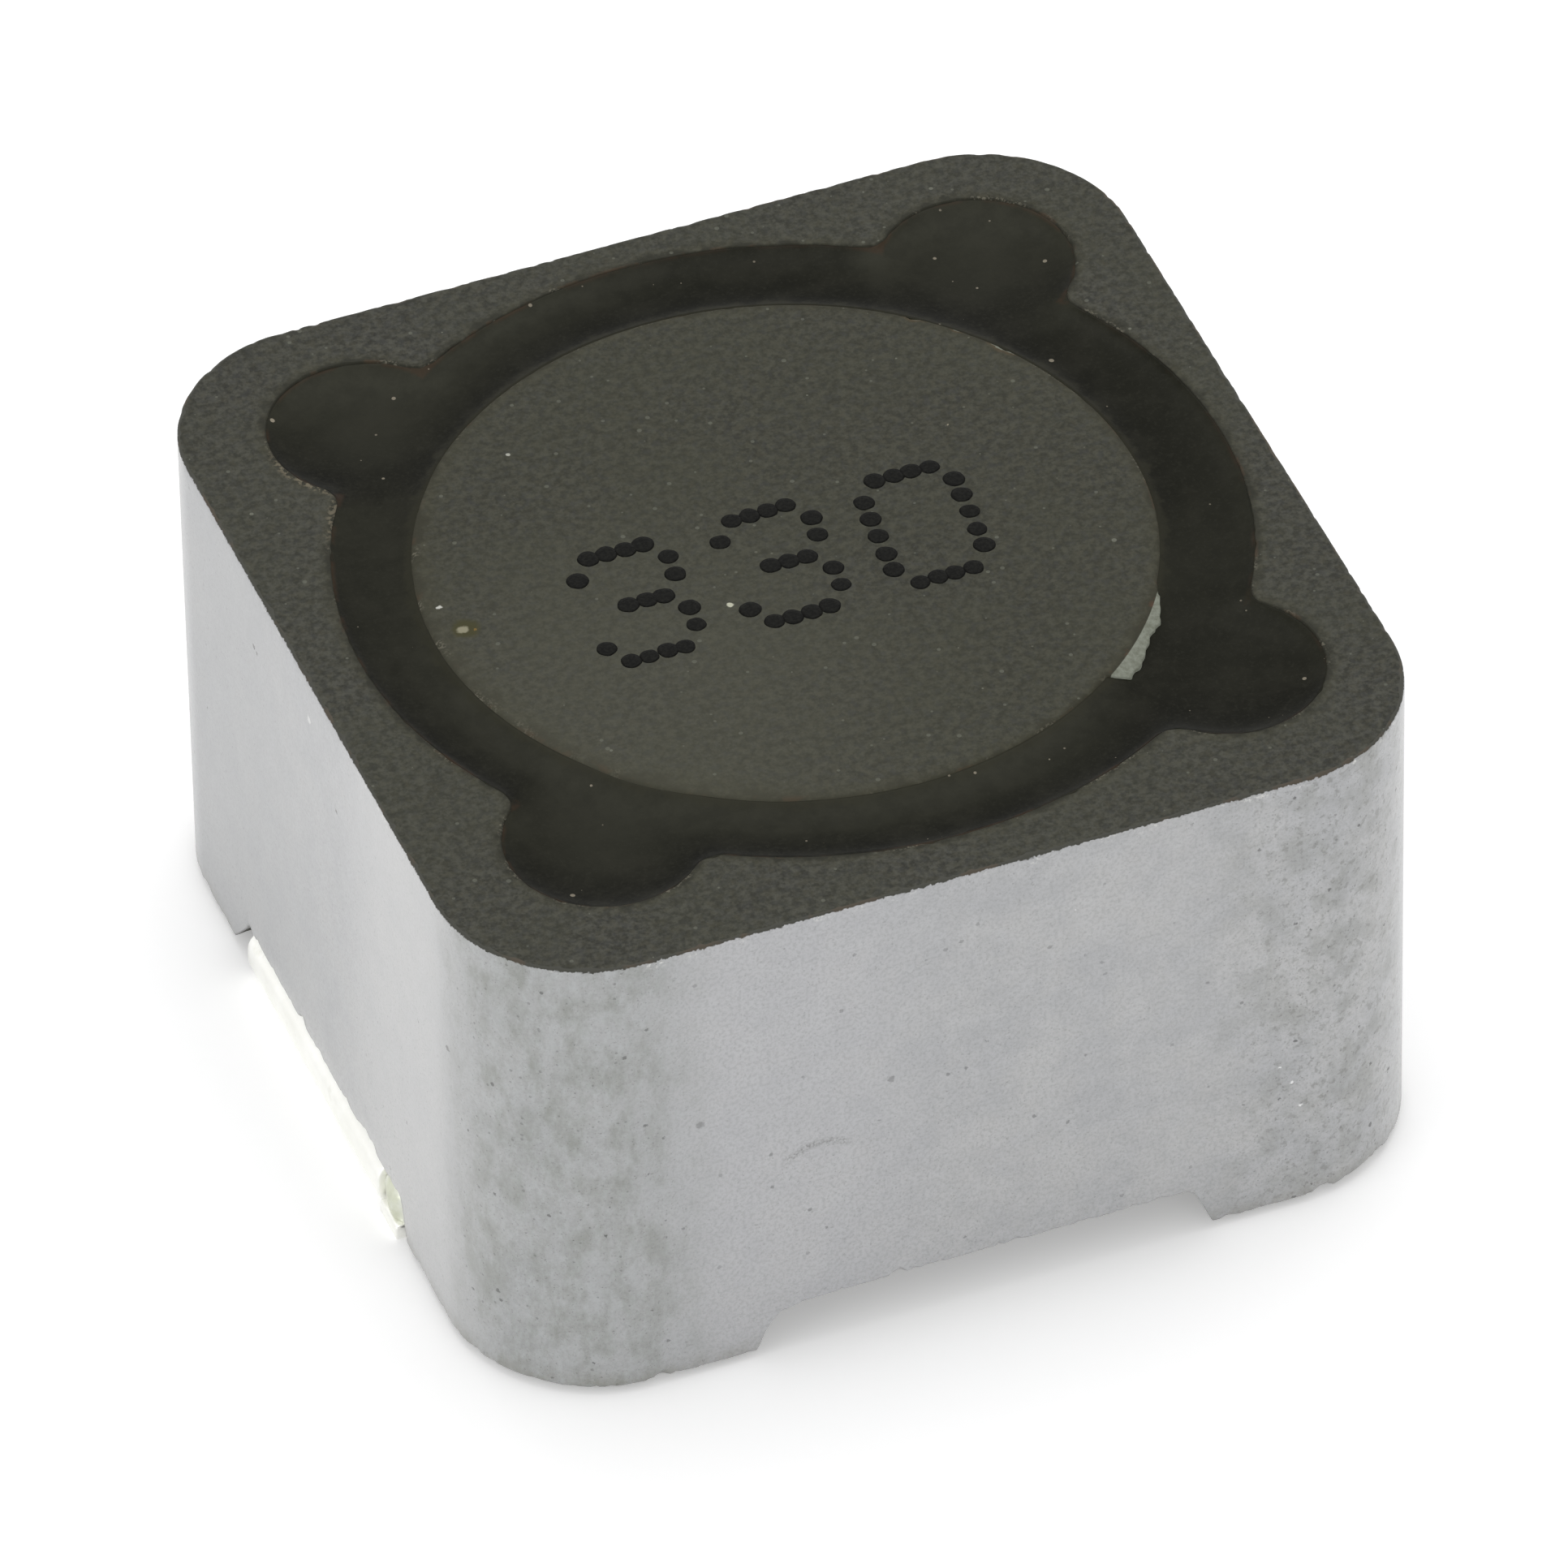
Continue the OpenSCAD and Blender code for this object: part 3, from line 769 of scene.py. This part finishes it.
def split_width(angle):
    """Width of the break at a bearing in radians."""
    degrees = (math.degrees(angle) + 180) % 360 - 180
    for (a, first), (b, second) in zip(split_widths, split_widths[1:]):
        if a <= degrees <= b:
            ragged = 1 + 0.4 * noise.noise(Vector((degrees * 0.45, 2.0, 7.0)))
            return (first + (second - first) * (degrees - a) / (b - a)) * ragged
    return 0.0


def chip_ball(angle, length, reach, depth):
    """Centre and radius of the ball whose skin is the chip's floor."""
    rim_sag = flange_r - math.sqrt(flange_r**2 - (length / 2) ** 2)
    sag = reach - rim_sag if reach > rim_sag + 0.02 else reach
    outline_r = (length**2 / 4 + sag**2) / (2 * sag)
    outside = outline_r - reach
    lift = (outline_r**2 - outside**2 - depth**2) / (2 * depth)
    away = (flange_r + outside) * Vector((math.cos(math.radians(angle)), math.sin(math.radians(angle))))
    centre = drum_centre + away
    return Vector((centre.x, centre.y, top_z + lift)), math.hypot(outline_r, lift)


chip_balls = [chip_ball(*chip) for chip in chips]


def chipped(p):
    """Height of a point of the top rim once the chips are gone from it."""
    z = p.z
    for centre, radius in chip_balls:
        wobble = 0.02 * noise.noise(p * 4) + 0.008 * noise.noise(p * 14)
        flat = (p.xy - centre.xy).length + wobble
        if flat < radius:
            floor = centre.z - math.sqrt(radius**2 - flat**2)
            crag = 0.02 * noise.noise(p * 5) + 0.005 * noise.noise(p * 17)
            if floor < z:
                z = min(z, floor + min(crag, (top_z - floor) * 0.5))
    return z


def rounded_corner(r, z, start):
    """Quarter of a circle about a point of the section, from start in degrees."""
    turns = [math.radians(start + 90 * i / 5) for i in range(6)]
    return [(r + rim_r * math.cos(a), z + rim_r * math.sin(a)) for a in turns]


# Half section from the foot's middle round to the top's middle
inner_r = flange_r - rim_r
base_top, top_foot = drum_foot_z + flange_t, top_z - flange_t
section = [(0.0, drum_foot_z), (2.0, drum_foot_z), (4.0, drum_foot_z)]
section += rounded_corner(inner_r, drum_foot_z + rim_r, -90)
section += rounded_corner(inner_r, base_top - rim_r, 0)
section += [(post_r + post_fillet, base_top), (post_r, base_top + post_fillet)]
section += [(post_r, top_foot - post_fillet), (post_r + post_fillet, top_foot)]
section += rounded_corner(inner_r, top_foot + rim_r, -90)
section += [(flange_r, top_z - depth) for depth in (0.4, split_foot_depth, 0.14, 0.11)]
section += rounded_corner(inner_r, top_z - rim_r, 0)
section += [(inner_r - rim_step * i, top_z) for i in range(1, 13)]
section += [(3.6, top_z), (2.0, top_z), (0.0, top_z)]
split_foot = section.index((flange_r, top_z - split_foot_depth))
split_top = section.index((inner_r - rim_step, top_z)) - 1

# The spokes stand closer together at the chips and the split
bearings = {round(2 * math.pi * i / drum_sides, 6) for i in range(drum_sides)}
for angle, length in [chip[:2] for chip in chips] + [(split_bearing, split_l)]:
    half = (length / 2 + 0.08) / flange_r
    count = math.ceil(2 * half * flange_r / chip_step)
    for i in range(count + 1):
        bearings.add(round((math.radians(angle) - half + 2 * half * i / count) % (2 * math.pi), 6))
bearings = sorted(bearings)

points, faces = [], []
rings = []
for k, (r, z) in enumerate(section):
    ring = []
    share = min(1.0, max(0.0, (k - split_foot) / (split_top - split_foot)))
    on_split = split_foot - 1 <= k <= split_top
    if r == 0:
        points.append((drum_centre.x, drum_centre.y, z))
        rings.append([len(points) - 1] * len(bearings))
        continue
    for a in bearings:
        p = Vector((r, 0.0, z))
        wide = split_width(a)
        if wide and on_split:
            # The break slopes from the rim's edge out to its foot, where it meets the epoxy
            split_z = top_z - split_slope * wide * (1 - share) if k >= split_foot else z
            slope = Vector((flange_r + wide * (1 - share) + split_from * share, 0.0, split_z))
            p = p.lerp(slope, min(1.0, wide / split_blend))
        p = drum_centre.to_3d() + Vector((p.x * math.cos(a), p.x * math.sin(a), p.z))
        if z > top_z - chip_zone and not wide:
            wear = 0.012 * crumble(p, 0.12, 6.6) if r > inner_r - 0.01 else 0.0
            p.z = chipped(p) - wear
        ring.append(len(points))
        points.append(tuple(p))
    rings.append(ring)
for ring, next_ring in zip(rings, rings[1:]):
    for i in range(len(bearings)):
        j = (i + 1) % len(bearings)
        faces.append(tuple(dict.fromkeys((ring[i], ring[j], next_ring[j], next_ring[i]))))


def rim_gap(finish):
    """Distance to the rim, shortened at the left, where the epoxy has crept further in."""
    gap = finish.calc("SUBTRACT", flange_r, finish.away_from(*drum_centre))
    return finish.times(gap, finish.between(finish.away_from(-4.0, -1.5), 2.5, 6.5, 0.4, 0.9))


drum_skin = pressed_skin("drum_ferrite_skin", (48, 48, 40), (74, 74, 64), (50, 49, 38), rim_gap)
paler = drum_skin.between(drum_skin.away_from(-2.6, -2.2), 4.5, 1.0, 0.0, 0.2)
drum_skin.lay((92, 92, 80), paler)
# Fresh breaks are pale and matt, with a rusty line where the skin ends
crag = drum_skin.grain(0.07, 4.0, 0.65, 2.0)
fresh = drum_skin.mix(drum_skin.between(crag, 0.3, 0.68), (112, 115, 102), (138, 142, 130))
uneven = drum_skin.swing(drum_skin.grain(0.12, 4.0, 0.6, 5.0), 0.12)
for centre, radius in chip_balls:
    outline_r = math.sqrt(radius**2 - (centre.z - top_z) ** 2)
    gap = drum_skin.calc("SUBTRACT", drum_skin.away_from(centre.x, centre.y), outline_r)
    gap = drum_skin.calc("ADD", gap, uneven)
    drum_skin.lay((94, 76, 52), drum_skin.between(gap, 0.07, 0.0), 0.45)
    drum_skin.lay(fresh, drum_skin.between(gap, 0.012, -0.012))
# The long break at the rim's edge, rusty here and there along it
beyond = drum_skin.calc("SUBTRACT", drum_skin.away_from(*drum_centre), flange_r)
split_middle = math.radians(split_bearing)
split_place = drum_centre + flange_r * Vector((math.cos(split_middle), math.sin(split_middle)))
beside = drum_skin.between(drum_skin.away_from(*split_place), 1.0, 0.8)
rusty = drum_skin.between(drum_skin.grain(0.22, 3.0, 0.6, 9.0), 0.52, 0.68)
drum_skin.lay((92, 66, 50), drum_skin.between(beyond, -0.07, 0.0), beside, rusty, 0.6)
drum_skin.lay(fresh, drum_skin.between(beyond, 0.008, 0.016))
# Stray marks: a white speck, a yellowish scrape and pale nicks
for x, y, radius, colour in (
    (-4.12, 0.67, 0.03, (196, 196, 188)),
    (-3.96, 0.2, 0.16, (64, 62, 38)),
    (-4.0, 0.2, 0.065, (142, 138, 116)),
    (-3.86, 0.14, 0.025, (118, 96, 50)),
    (-0.95, -0.6, 0.035, (190, 190, 170)),
    (2.6, 1.4, 0.02, (170, 160, 140)),
    (-2.4, 2.9, 0.02, (170, 170, 160)),
):
    drum_skin.mark(x, y, radius, colour, uneven)

drum = make_piece("drum", points, faces, [drum_skin])
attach(drum, "root")
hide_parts("drum_core")


# ---- Poured epoxy ----------------------------------------------------------------------------
# Dark epoxy poured into the groove and the lobes holds the drum in the shield. It wets the
# ferrite, sags in between as it cures to a smooth skin, and creeps up the shield in a thin lip.
epoxy_level = top_z - 0.02
epoxy_foot_z = top_z - 1.0
climb = 0.012
climb_reach = 0.03
groove_sag = 0.075
sag_reach = 0.2
lobe_sag = 0.06
lobe_margin = 0.25
split_reach = 0.3
ripple = 0.006
across_rows = 30
wetted = 0.03
lobe_centres = [
    bore_centre + Vector((sx, sy)) * (half_side - lobe_wall - lobe_r) for sx in (-1, 1) for sy in (-1, 1)
]
bore = bore_rows(0.05)
bore_finder = kdtree.KDTree(len(bore))
for i, (p, n) in enumerate(bore):
    bore_finder.insert((p.x, p.y, 0), i)
bore_finder.balance()


def epoxy_height(p):
    """Height of the epoxy's skin at a place seen from above."""
    split = split_width(bearing(p - drum_centre))
    to_rim = max(0.0, (p - drum_centre).length - flange_r)
    split *= math.exp(-((to_rim / split_reach) ** 2))
    to_drum = max(0.0, to_rim - split)
    to_bore = bore_finder.find((p.x, p.y, 0))[2]
    wall = min(to_drum, to_bore)
    height = epoxy_level - groove_sag * (1 - math.exp(-wall / sag_reach)) - split_slope * split
    for lobe in lobe_centres:
        inside = max(0.0, 1 - ((p - lobe).length / (lobe_r + lobe_margin)) ** 2)
        height -= lobe_sag * inside**2
    climbing = climb * math.exp(-to_bore / climb_reach) * (1 + noise.noise(Vector((p.x * 2, p.y * 2, 1.1))))
    return height + climbing + ripple * noise.noise(Vector((p.x * 0.8, p.y * 0.8, 4.4)))


points, faces = [], []
count = len(bore)
for row in range(across_rows + 1):
    share = (1 - math.cos(math.pi * row / across_rows)) / 2
    for p, n in bore:
        edge = p + n * wetted
        ray = (p - drum_centre).normalized()
        rim = drum_centre + ray * (flange_r - wetted + split_width(bearing(ray)))
        q = rim.lerp(edge, share)
        points.append((q.x, q.y, epoxy_height(q)))
for row in (across_rows, 0):
    for i in range(count):
        x, y, z = points[row * count + i]
        points.append((x, y, epoxy_foot_z))
outer_foot, inner_foot = (across_rows + 1) * count, (across_rows + 2) * count
for i in range(count):
    j = (i + 1) % count
    for row in range(across_rows):
        a = row * count
        faces.append((a + i, a + count + i, a + count + j, a + j))
    rim = across_rows * count
    faces.append((rim + i, outer_foot + i, outer_foot + j, rim + j))
    faces.append((outer_foot + i, inner_foot + i, inner_foot + j, outer_foot + j))
    faces.append((inner_foot + i, i, j, inner_foot + j))

epoxy = Finish("epoxy", (24, 24, 16), 0.28, Specular_IOR_Level=0.04)
# Painted shade and light: slopes that face the front are painted lighter and those that face the back
# darker, standing in for the shading of the sunken skin
normal = epoxy.add("NewGeometry").outputs["Normal"]
lean = epoxy.vector("DOT_PRODUCT", normal, (-0.36, -0.93, 0.0), result="Value")
epoxy.mottle(lean, -0.18, 0.16, (12, 12, 7), (53, 53, 44))
fine = epoxy.grain(0.06, 3.0, 0.7)
epoxy.lay((26, 26, 18), epoxy.between(epoxy.grain(2.2, 3.0, 0.5, 1.0), 0.3, 0.7, 0.0, 0.3))
epoxy.lay((42, 42, 34), epoxy.between(fine, 0.4, 0.65, 0.0, 0.22))
epoxy.lay((20, 20, 14), epoxy.between(epoxy.grain(0.25, 3.0, 0.6, 15.0), 0.35, 0.65, 0.0, 0.25))
bore_gap, lobe_gap = epoxy.from_bore()
epoxy.lay((50, 50, 42), epoxy.between(lobe_gap, -0.3, -1.0, 0.0, 0.45))
brown = epoxy.between(epoxy.grain(0.5, 3.0, 0.6, 3.0), 0.45, 0.62)
epoxy.lay((72, 52, 38), epoxy.between(epoxy.times(bore_gap, -1.0), 0.06, 0.0), brown, 0.4)
darker = epoxy.between(epoxy.away_from(3.9, -3.8), 2.2, 0.8, 0.0, 0.65)
behind = epoxy.between(epoxy.away_from(3.4, 3.0), 5.5, 3.0, 0.0, 0.6)
in_groove = epoxy.between(lobe_gap, 0.0, 0.5)
epoxy.lay((18, 18, 11), epoxy.calc("MAXIMUM", darker, epoxy.times(behind, in_groove)))
epoxy.lay((54, 53, 45), epoxy.between(epoxy.grain(0.5, 4.0, 0.65, 41.0), 0.4, 0.66, 0.0, 0.22))
epoxy.lay((50, 50, 42), epoxy.between(epoxy.grain(0.05, 3.0, 0.65, 43.0), 0.5, 0.7, 0.0, 0.3))
# Beside the drum's rim it is as dull as the film on the drum
to_rim = epoxy.calc("SUBTRACT", epoxy.away_from(*drum_centre), flange_r)
wander = epoxy.swing(epoxy.grain(0.22, 4.0, 0.65, 14.0), 0.4)
epoxy.lay((50, 49, 38), epoxy.between(epoxy.calc("ADD", to_rim, wander), 0.12, 0.0, 0.0, 0.5))
# Dust: distance apart, radius, share of the places that have a grain, strength
for size, radius, kept, strength in (
    (0.16, 0.016, 0.16, 0.5), (0.3, 0.032, 0.22, 0.7), (0.8, 0.04, 0.12, 0.9)
):
    epoxy.lay((150, 142, 126), epoxy.specks(size, radius, kept, size * 20), strength)
epoxy.relief(fine, 0.001)

rim_epoxy = make_piece("rim_epoxy_skin", points, faces, [epoxy])
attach(rim_epoxy, "root")
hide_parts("rim_epoxy")

# The four dabs at the base flange are of the same epoxy and keep their plain shape
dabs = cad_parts["base_epoxy"]
for held in dabs.material_slots:
    held.material = epoxy.material


# ---- Coil ------------------------------------------------------------------------------------
# One enamelled copper wire, wound in three layers on the post. Its start drops through the
# groove to the left terminal, its finish to the right one.
low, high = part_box("winding")
wire_r = 0.225
wire_sides = 12
layers = 3
coil_gap = 0.05
turn_steps = 72
first_turn_z = drum_foot_z + flange_t + coil_gap + wire_r
turns = 8
lead_z = low.z / MM + wire_r
lead_in_solder = 0.15
lead_x = high.x / MM - lead_in_solder
solder_low, solder_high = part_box("solder_right")
lead_y = (solder_low.y + solder_high.y) / 2 / MM
bend_r = 0.5
bend_steps = 10
groove_centre = (bore_centre + drum_centre) / 2
groove_r = (bore_r + flange_r) / 2


def layer_r(k):
    """Radius of a layer of turns, which lie in the valleys of the layer below."""
    return post_r + coil_gap + wire_r + k * 2 * wire_r * math.sin(math.radians(60))


def drop_point(side):
    """Where a lead drops through the middle of the groove."""
    dy = side * lead_y - groove_centre.y
    return Vector((groove_centre.x + side * math.sqrt(groove_r**2 - dy**2), side * lead_y))


def leaving_angle(p, r, way):
    """Bearing at which a straight lead from p touches a turn of radius r."""
    v = p - drum_centre
    return bearing(v) + way * math.acos(r / v.length)


def quarter_bend():
    """How far a bend has come and has left to go, in shares of its radius, from start to end."""
    for i in range(bend_steps + 1):
        a = math.pi / 2 * i / bend_steps
        yield 1 - math.cos(a), 1 - math.sin(a)


def lead_route(side, turn_r, turn_z, angle):
    """Route of a lead from its cut end to its turn."""
    p = drop_point(side)
    joins = drum_centre + turn_r * Vector((math.cos(angle), math.sin(angle)))
    inward = (joins - p).normalized()
    route = [Vector((side * lead_x, side * lead_y, lead_z))]
    for come, left in quarter_bend():
        route.append(Vector((p.x + side * bend_r * left, p.y, lead_z + bend_r * come)))
    for come, left in quarter_bend():
        q = p + inward * bend_r * come
        route.append(Vector((q.x, q.y, turn_z - bend_r * left)))
    return route


def eased(t):
    """Share of a jog from one turn to the next, gentle at both ends."""
    return t * t * (3 - 2 * t)


start_angle = leaving_angle(drop_point(-1), layer_r(0), 1)
end_angle = leaving_angle(drop_point(1), layer_r(layers - 1), -1)
# Levels of the turns, in wire diameters over the first: up, down in the valleys, up again
levels = [(0, i) for i in range(turns)]
levels += [(1, i + 0.5) for i in range(turns - 2, 0, -1)]
levels += [(2, i) for i in range(1, turns)]
jog = 0.12
wire_route = lead_route(-1, layer_r(0), first_turn_z, start_angle)
last_share = ((end_angle - start_angle) % (2 * math.pi)) / (2 * math.pi)
for index, (k, level) in enumerate(levels):
    last = index == len(levels) - 1
    next_k, next_level = (k, level) if last else levels[index + 1]
    for i in range(turn_steps):
        share = i / turn_steps
        if last and share > last_share:
            break
        move = eased(max(0.0, (share - 1 + jog) / jog))
        r = layer_r(k) + (layer_r(next_k) - layer_r(k)) * move
        z = first_turn_z + 2 * wire_r * (level + (next_level - level) * move)
        a = start_angle + 2 * math.pi * share
        wire_route.append(Vector((drum_centre.x + r * math.cos(a), drum_centre.y + r * math.sin(a), z)))
wire_route += lead_route(1, layer_r(layers - 1), first_turn_z + 2 * wire_r * (turns - 1), end_angle)[::-1]

points, faces = [], []
across = Vector((0, 0, 1))
for i, p in enumerate(wire_route):
    ahead = wire_route[min(i + 1, len(wire_route) - 1)] - wire_route[max(i - 1, 0)]
    along = ahead.normalized()
    across = (across - along * across.dot(along)).normalized()
    beside = along.cross(across)
    for s in range(wire_sides):
        a = 2 * math.pi * s / wire_sides
        points.append(tuple(p + wire_r * (math.cos(a) * across + math.sin(a) * beside)))
for i in range(len(wire_route) - 1):
    for s in range(wire_sides):
        t = (s + 1) % wire_sides
        a, b = i * wire_sides, (i + 1) * wire_sides
        faces.append((a + s, a + t, b + t, b + s))
faces.append(tuple(range(wire_sides))[::-1])
faces.append(tuple(len(points) - wire_sides + s for s in range(wire_sides)))

copper = Finish(
    "enamelled_copper_wire", (184, 96, 44), 0.3, Metallic=0.6, Coat_Weight=0.8, Coat_Roughness=0.12
)
copper.mottle(copper.grain(0.7, 3.0, 0.5), 0.3, 0.7, (170, 84, 36), (200, 112, 56))
copper.relief(copper.grain(0.05, 2.0, 0.5), 0.002)

coil = make_piece("coil", points, faces, [copper])
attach(coil, "root")
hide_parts("winding")


# ---- Terminals -------------------------------------------------------------------------------
# Two strips of tin-plated copper, each folded round its recess: pad below, wall, leaf above. A
# slit frees the flat tab under the lead. The blanks are sheared, so their edges are a bit soft.
low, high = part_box("terminal_right")
strip_t = 0.2
fold_r = 0.28
leaf_z = high.z / MM
terminal_x = high.x / MM
terminal_half_w = high.y / MM
pad_len = (high.x - low.x) / MM
notch_w = (solder_high.y - solder_low.y) / MM
slit_w = 0.05
sheared_r = 0.025
fold_steps = 8
pad_steps, leaf_steps, width_steps, tab_steps = 12, 10, 24, 4


def strip_sheet():
    """Middle surface of the folded strip, as points and faces, for the +X terminal."""
    middle_r = fold_r - strip_t / 2
    developed = [(-pad_len + pad_len * i / pad_steps, strip_t / 2) for i in range(pad_steps)]
    developed = [(x, z) for x, z in developed if x < -fold_r - 0.05] + [(-fold_r, strip_t / 2)]
    flat_count = len(developed)
    for i in range(1, fold_steps + 1):
        a = math.pi / 2 * i / fold_steps
        developed.append((-fold_r + middle_r * math.sin(a), fold_r - middle_r * math.cos(a)))
    for i in range(fold_steps + 1):
        a = math.pi / 2 * i / fold_steps
        developed.append((-fold_r + middle_r * math.cos(a), leaf_z - fold_r + middle_r * math.sin(a)))
    leaf_len = pad_len - fold_r
    for i in range(1, leaf_steps + 1):
        developed.append((-fold_r - leaf_len * i / leaf_steps, leaf_z - strip_t / 2))
    folded_y = terminal_half_w - notch_w
    folded_w = folded_y + terminal_half_w
    stops = [-terminal_half_w + folded_w * i / width_steps for i in range(width_steps + 1)]
    stops += [folded_y + slit_w]
    stops += [stops[-1] + (terminal_half_w - stops[-1]) * i / tab_steps for i in range(1, tab_steps + 1)]
    grid, sheet_points, sheet_faces = {}, [], []

    def corner(v, u, tab_x=None):
        key = (u, v, tab_x)
        if key not in grid:
            x, z = developed[u] if tab_x is None else (tab_x, strip_t / 2)
            grid[key] = len(sheet_points)
            sheet_points.append((terminal_x + x, stops[v], z))
        return grid[key]

    def quad(v, near, far):
        sheet_faces.append((corner(v, *near), corner(v, *far), corner(v + 1, *far), corner(v + 1, *near)))

    tab_start, tab_middle, tab_end = (flat_count - 1,), (-1, -fold_r / 2), (-1, 0.0)
    for v in range(len(stops) - 1):
        for u in range(len(developed) - 1):
            if v < width_steps or u < flat_count - 1:
                quad(v, (u,), (u + 1,))
        if v > width_steps:
            quad(v, tab_start, tab_middle)
            quad(v, tab_middle, tab_end)
    return sheet_points, sheet_faces


tin = Finish("tinned_strip", (244, 244, 239), 0.34, Metallic=0.9)
cloud = tin.grain(0.8, 4.0, 0.6)
fine = tin.grain(0.07, 3.0, 0.6, 3.0)
tin.mottle(cloud, 0.3, 0.7, (246, 246, 240), (254, 254, 250))
tin.lay((232, 232, 223), tin.between(tin.grain(0.5, 4.0, 0.65, 9.0), 0.56, 0.7, 0.0, 0.6))
tin.set(Roughness=tin.between(fine, 0.3, 0.7, 0.28, 0.45))
tin.relief(cloud, 0.006)
tin.relief(fine, 0.002)

sheet_points, sheet_faces = strip_sheet()
for name, side in (("tinned_terminal_left", -1), ("tinned_terminal_right", 1)):
    turned = [(side * x, side * y, z) for x, y, z in sheet_points]
    terminal = make_piece(name, turned, sheet_faces, [tin])
    thick = terminal.modifiers.new("strip", "SOLIDIFY")
    thick.thickness = strip_t * MM
    thick.offset = 0.0
    soft = terminal.modifiers.new("sheared_edges", "BEVEL")
    soft.width = sheared_r * MM
    soft.segments = 2
    soft.limit_method = "ANGLE"
    soft.angle_limit = math.radians(50)
    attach(terminal, "root")
    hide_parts("terminal_left" if side < 0 else "terminal_right")


# ---- Solder joints ---------------------------------------------------------------------------
# A drop of solder holds each lead's end to its terminal. It wets the wire and the tab, so it is
# a lump with soft shoulders, dulled by flux at its foot.
solder_rows, solder_sides = 28, 40
solder_swell = Vector((0.12, 0.06, 0.14))
solder_sunk = Vector((0.01, 0.0, 0.07))
solder_square = 0.6
solder_foot = 0.04

solder = Finish("solder_drop", (206, 208, 198), 0.36, Metallic=0.85)
cloud = solder.grain(0.35, 4.0, 0.6)
flux = solder.grain(0.5, 3.0, 0.5, 6.0)
solder.mottle(cloud, 0.3, 0.7, (214, 217, 204), (240, 242, 232))
solder.lay((188, 192, 160), solder.between(flux, 0.5, 0.62, 0.0, 0.5))
solder.lay((96, 78, 52), solder.between(flux, 0.66, 0.72, 0.0, 0.7))
solder.relief(cloud, 0.03)

low, high = solder_low / MM, solder_high / MM
centre = (low + high) / 2 - solder_sunk
size = (high - low + solder_swell) / 2
for name, side in (("solder_drop_left", -1), ("solder_drop_right", 1)):
    points, faces = [], []
    for row in range(solder_rows + 1):
        tip = math.pi * row / solder_rows
        for s in range(solder_sides):
            a = 2 * math.pi * s / solder_sides
            ray = Vector((math.cos(tip), math.sin(tip) * math.cos(a), math.sin(tip) * math.sin(a)))
            squared = Vector(math.copysign(abs(c) ** solder_square, c) for c in ray)
            lump = 0.96 + 0.1 * noise.noise(ray * 1.7 + Vector((side, 2, 3)))
            p = centre + squared * size * lump
            points.append((side * p.x, side * p.y, max(p.z, solder_foot)))
    for row in range(solder_rows):
        for s in range(solder_sides):
            t = (s + 1) % solder_sides
            a, b = row * solder_sides, (row + 1) * solder_sides
            faces.append((a + s, b + s, b + t, a + t))
    joint = make_piece(name, points, faces, [solder])
    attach(joint, "root")
    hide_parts("solder_left" if side < 0 else "solder_right")


# ---- Value code ------------------------------------------------------------------------------
# The value in three digits, put on the drum's top by an ink jet as overlapping round drops. Each
# drop dries as a thin domed disc with an uneven edge, and the print leans back a little.
digit_shapes = {
    "3": (" #### ", "#    #", "     #", "  ### ", "     #", "#    #", " #### "),
    "0": (" #### ", "#    #", "#    #", "#    #", "#    #", "#    #", " #### "),
}
code = "330"
digit_left = (-2.42, -0.61, 1.21)
code_top = 0.79
row_pitch = 0.31
column_pitch = 0.228
lean = -0.03
drop_r = 0.135
drop_h = 0.004
drop_sides = 20
drop_rings = ((0.7, 0.85), (1.0, 0.0))
place_error = 0.012
random.seed(33)
points, faces = [], []
for left, digit in zip(digit_left, code):
    for row, dots in enumerate(digit_shapes[digit]):
        for column, dot in enumerate(dots):
            if dot != "#":
                continue
            centre = Vector((left + column * column_pitch + lean * row, code_top - row * row_pitch))
            centre += Vector([random.uniform(-place_error, place_error) for axis in "xy"])
            size = drop_r * random.uniform(0.93, 1.07)
            base = len(points)
            points.append((centre.x, centre.y, top_z + drop_h))
            for share, rise in drop_rings:
                for s in range(drop_sides):
                    a = 2 * math.pi * s / drop_sides
                    ray = Vector((math.cos(a), math.sin(a)))
                    uneven = 1 + 0.09 * noise.noise(Vector((ray.x, ray.y, base * 0.37)) * 1.5)
                    p = centre + ray * size * uneven * share
                    points.append((p.x, p.y, top_z - 0.0005 + drop_h * rise))
            inner, outer = base + 1, base + 1 + drop_sides
            for s in range(drop_sides):
                t = (s + 1) % drop_sides
                faces.append((base, inner + s, inner + t))
                faces.append((inner + s, outer + s, outer + t, inner + t))
            faces.append(tuple(range(base + 2 * drop_sides, base + drop_sides, -1)))

ink = Finish("black_ink", (18, 18, 15), 0.5, Specular_IOR_Level=0.06)
fine = ink.grain(0.04, 2.0, 0.6)
ink.mottle(fine, 0.35, 0.7, (12, 12, 10), (26, 26, 23))
ink.relief(fine, 0.004)

value_code = make_piece("value_code", points, faces, [ink])
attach(value_code, "root")


bpy.context.view_layer.update()
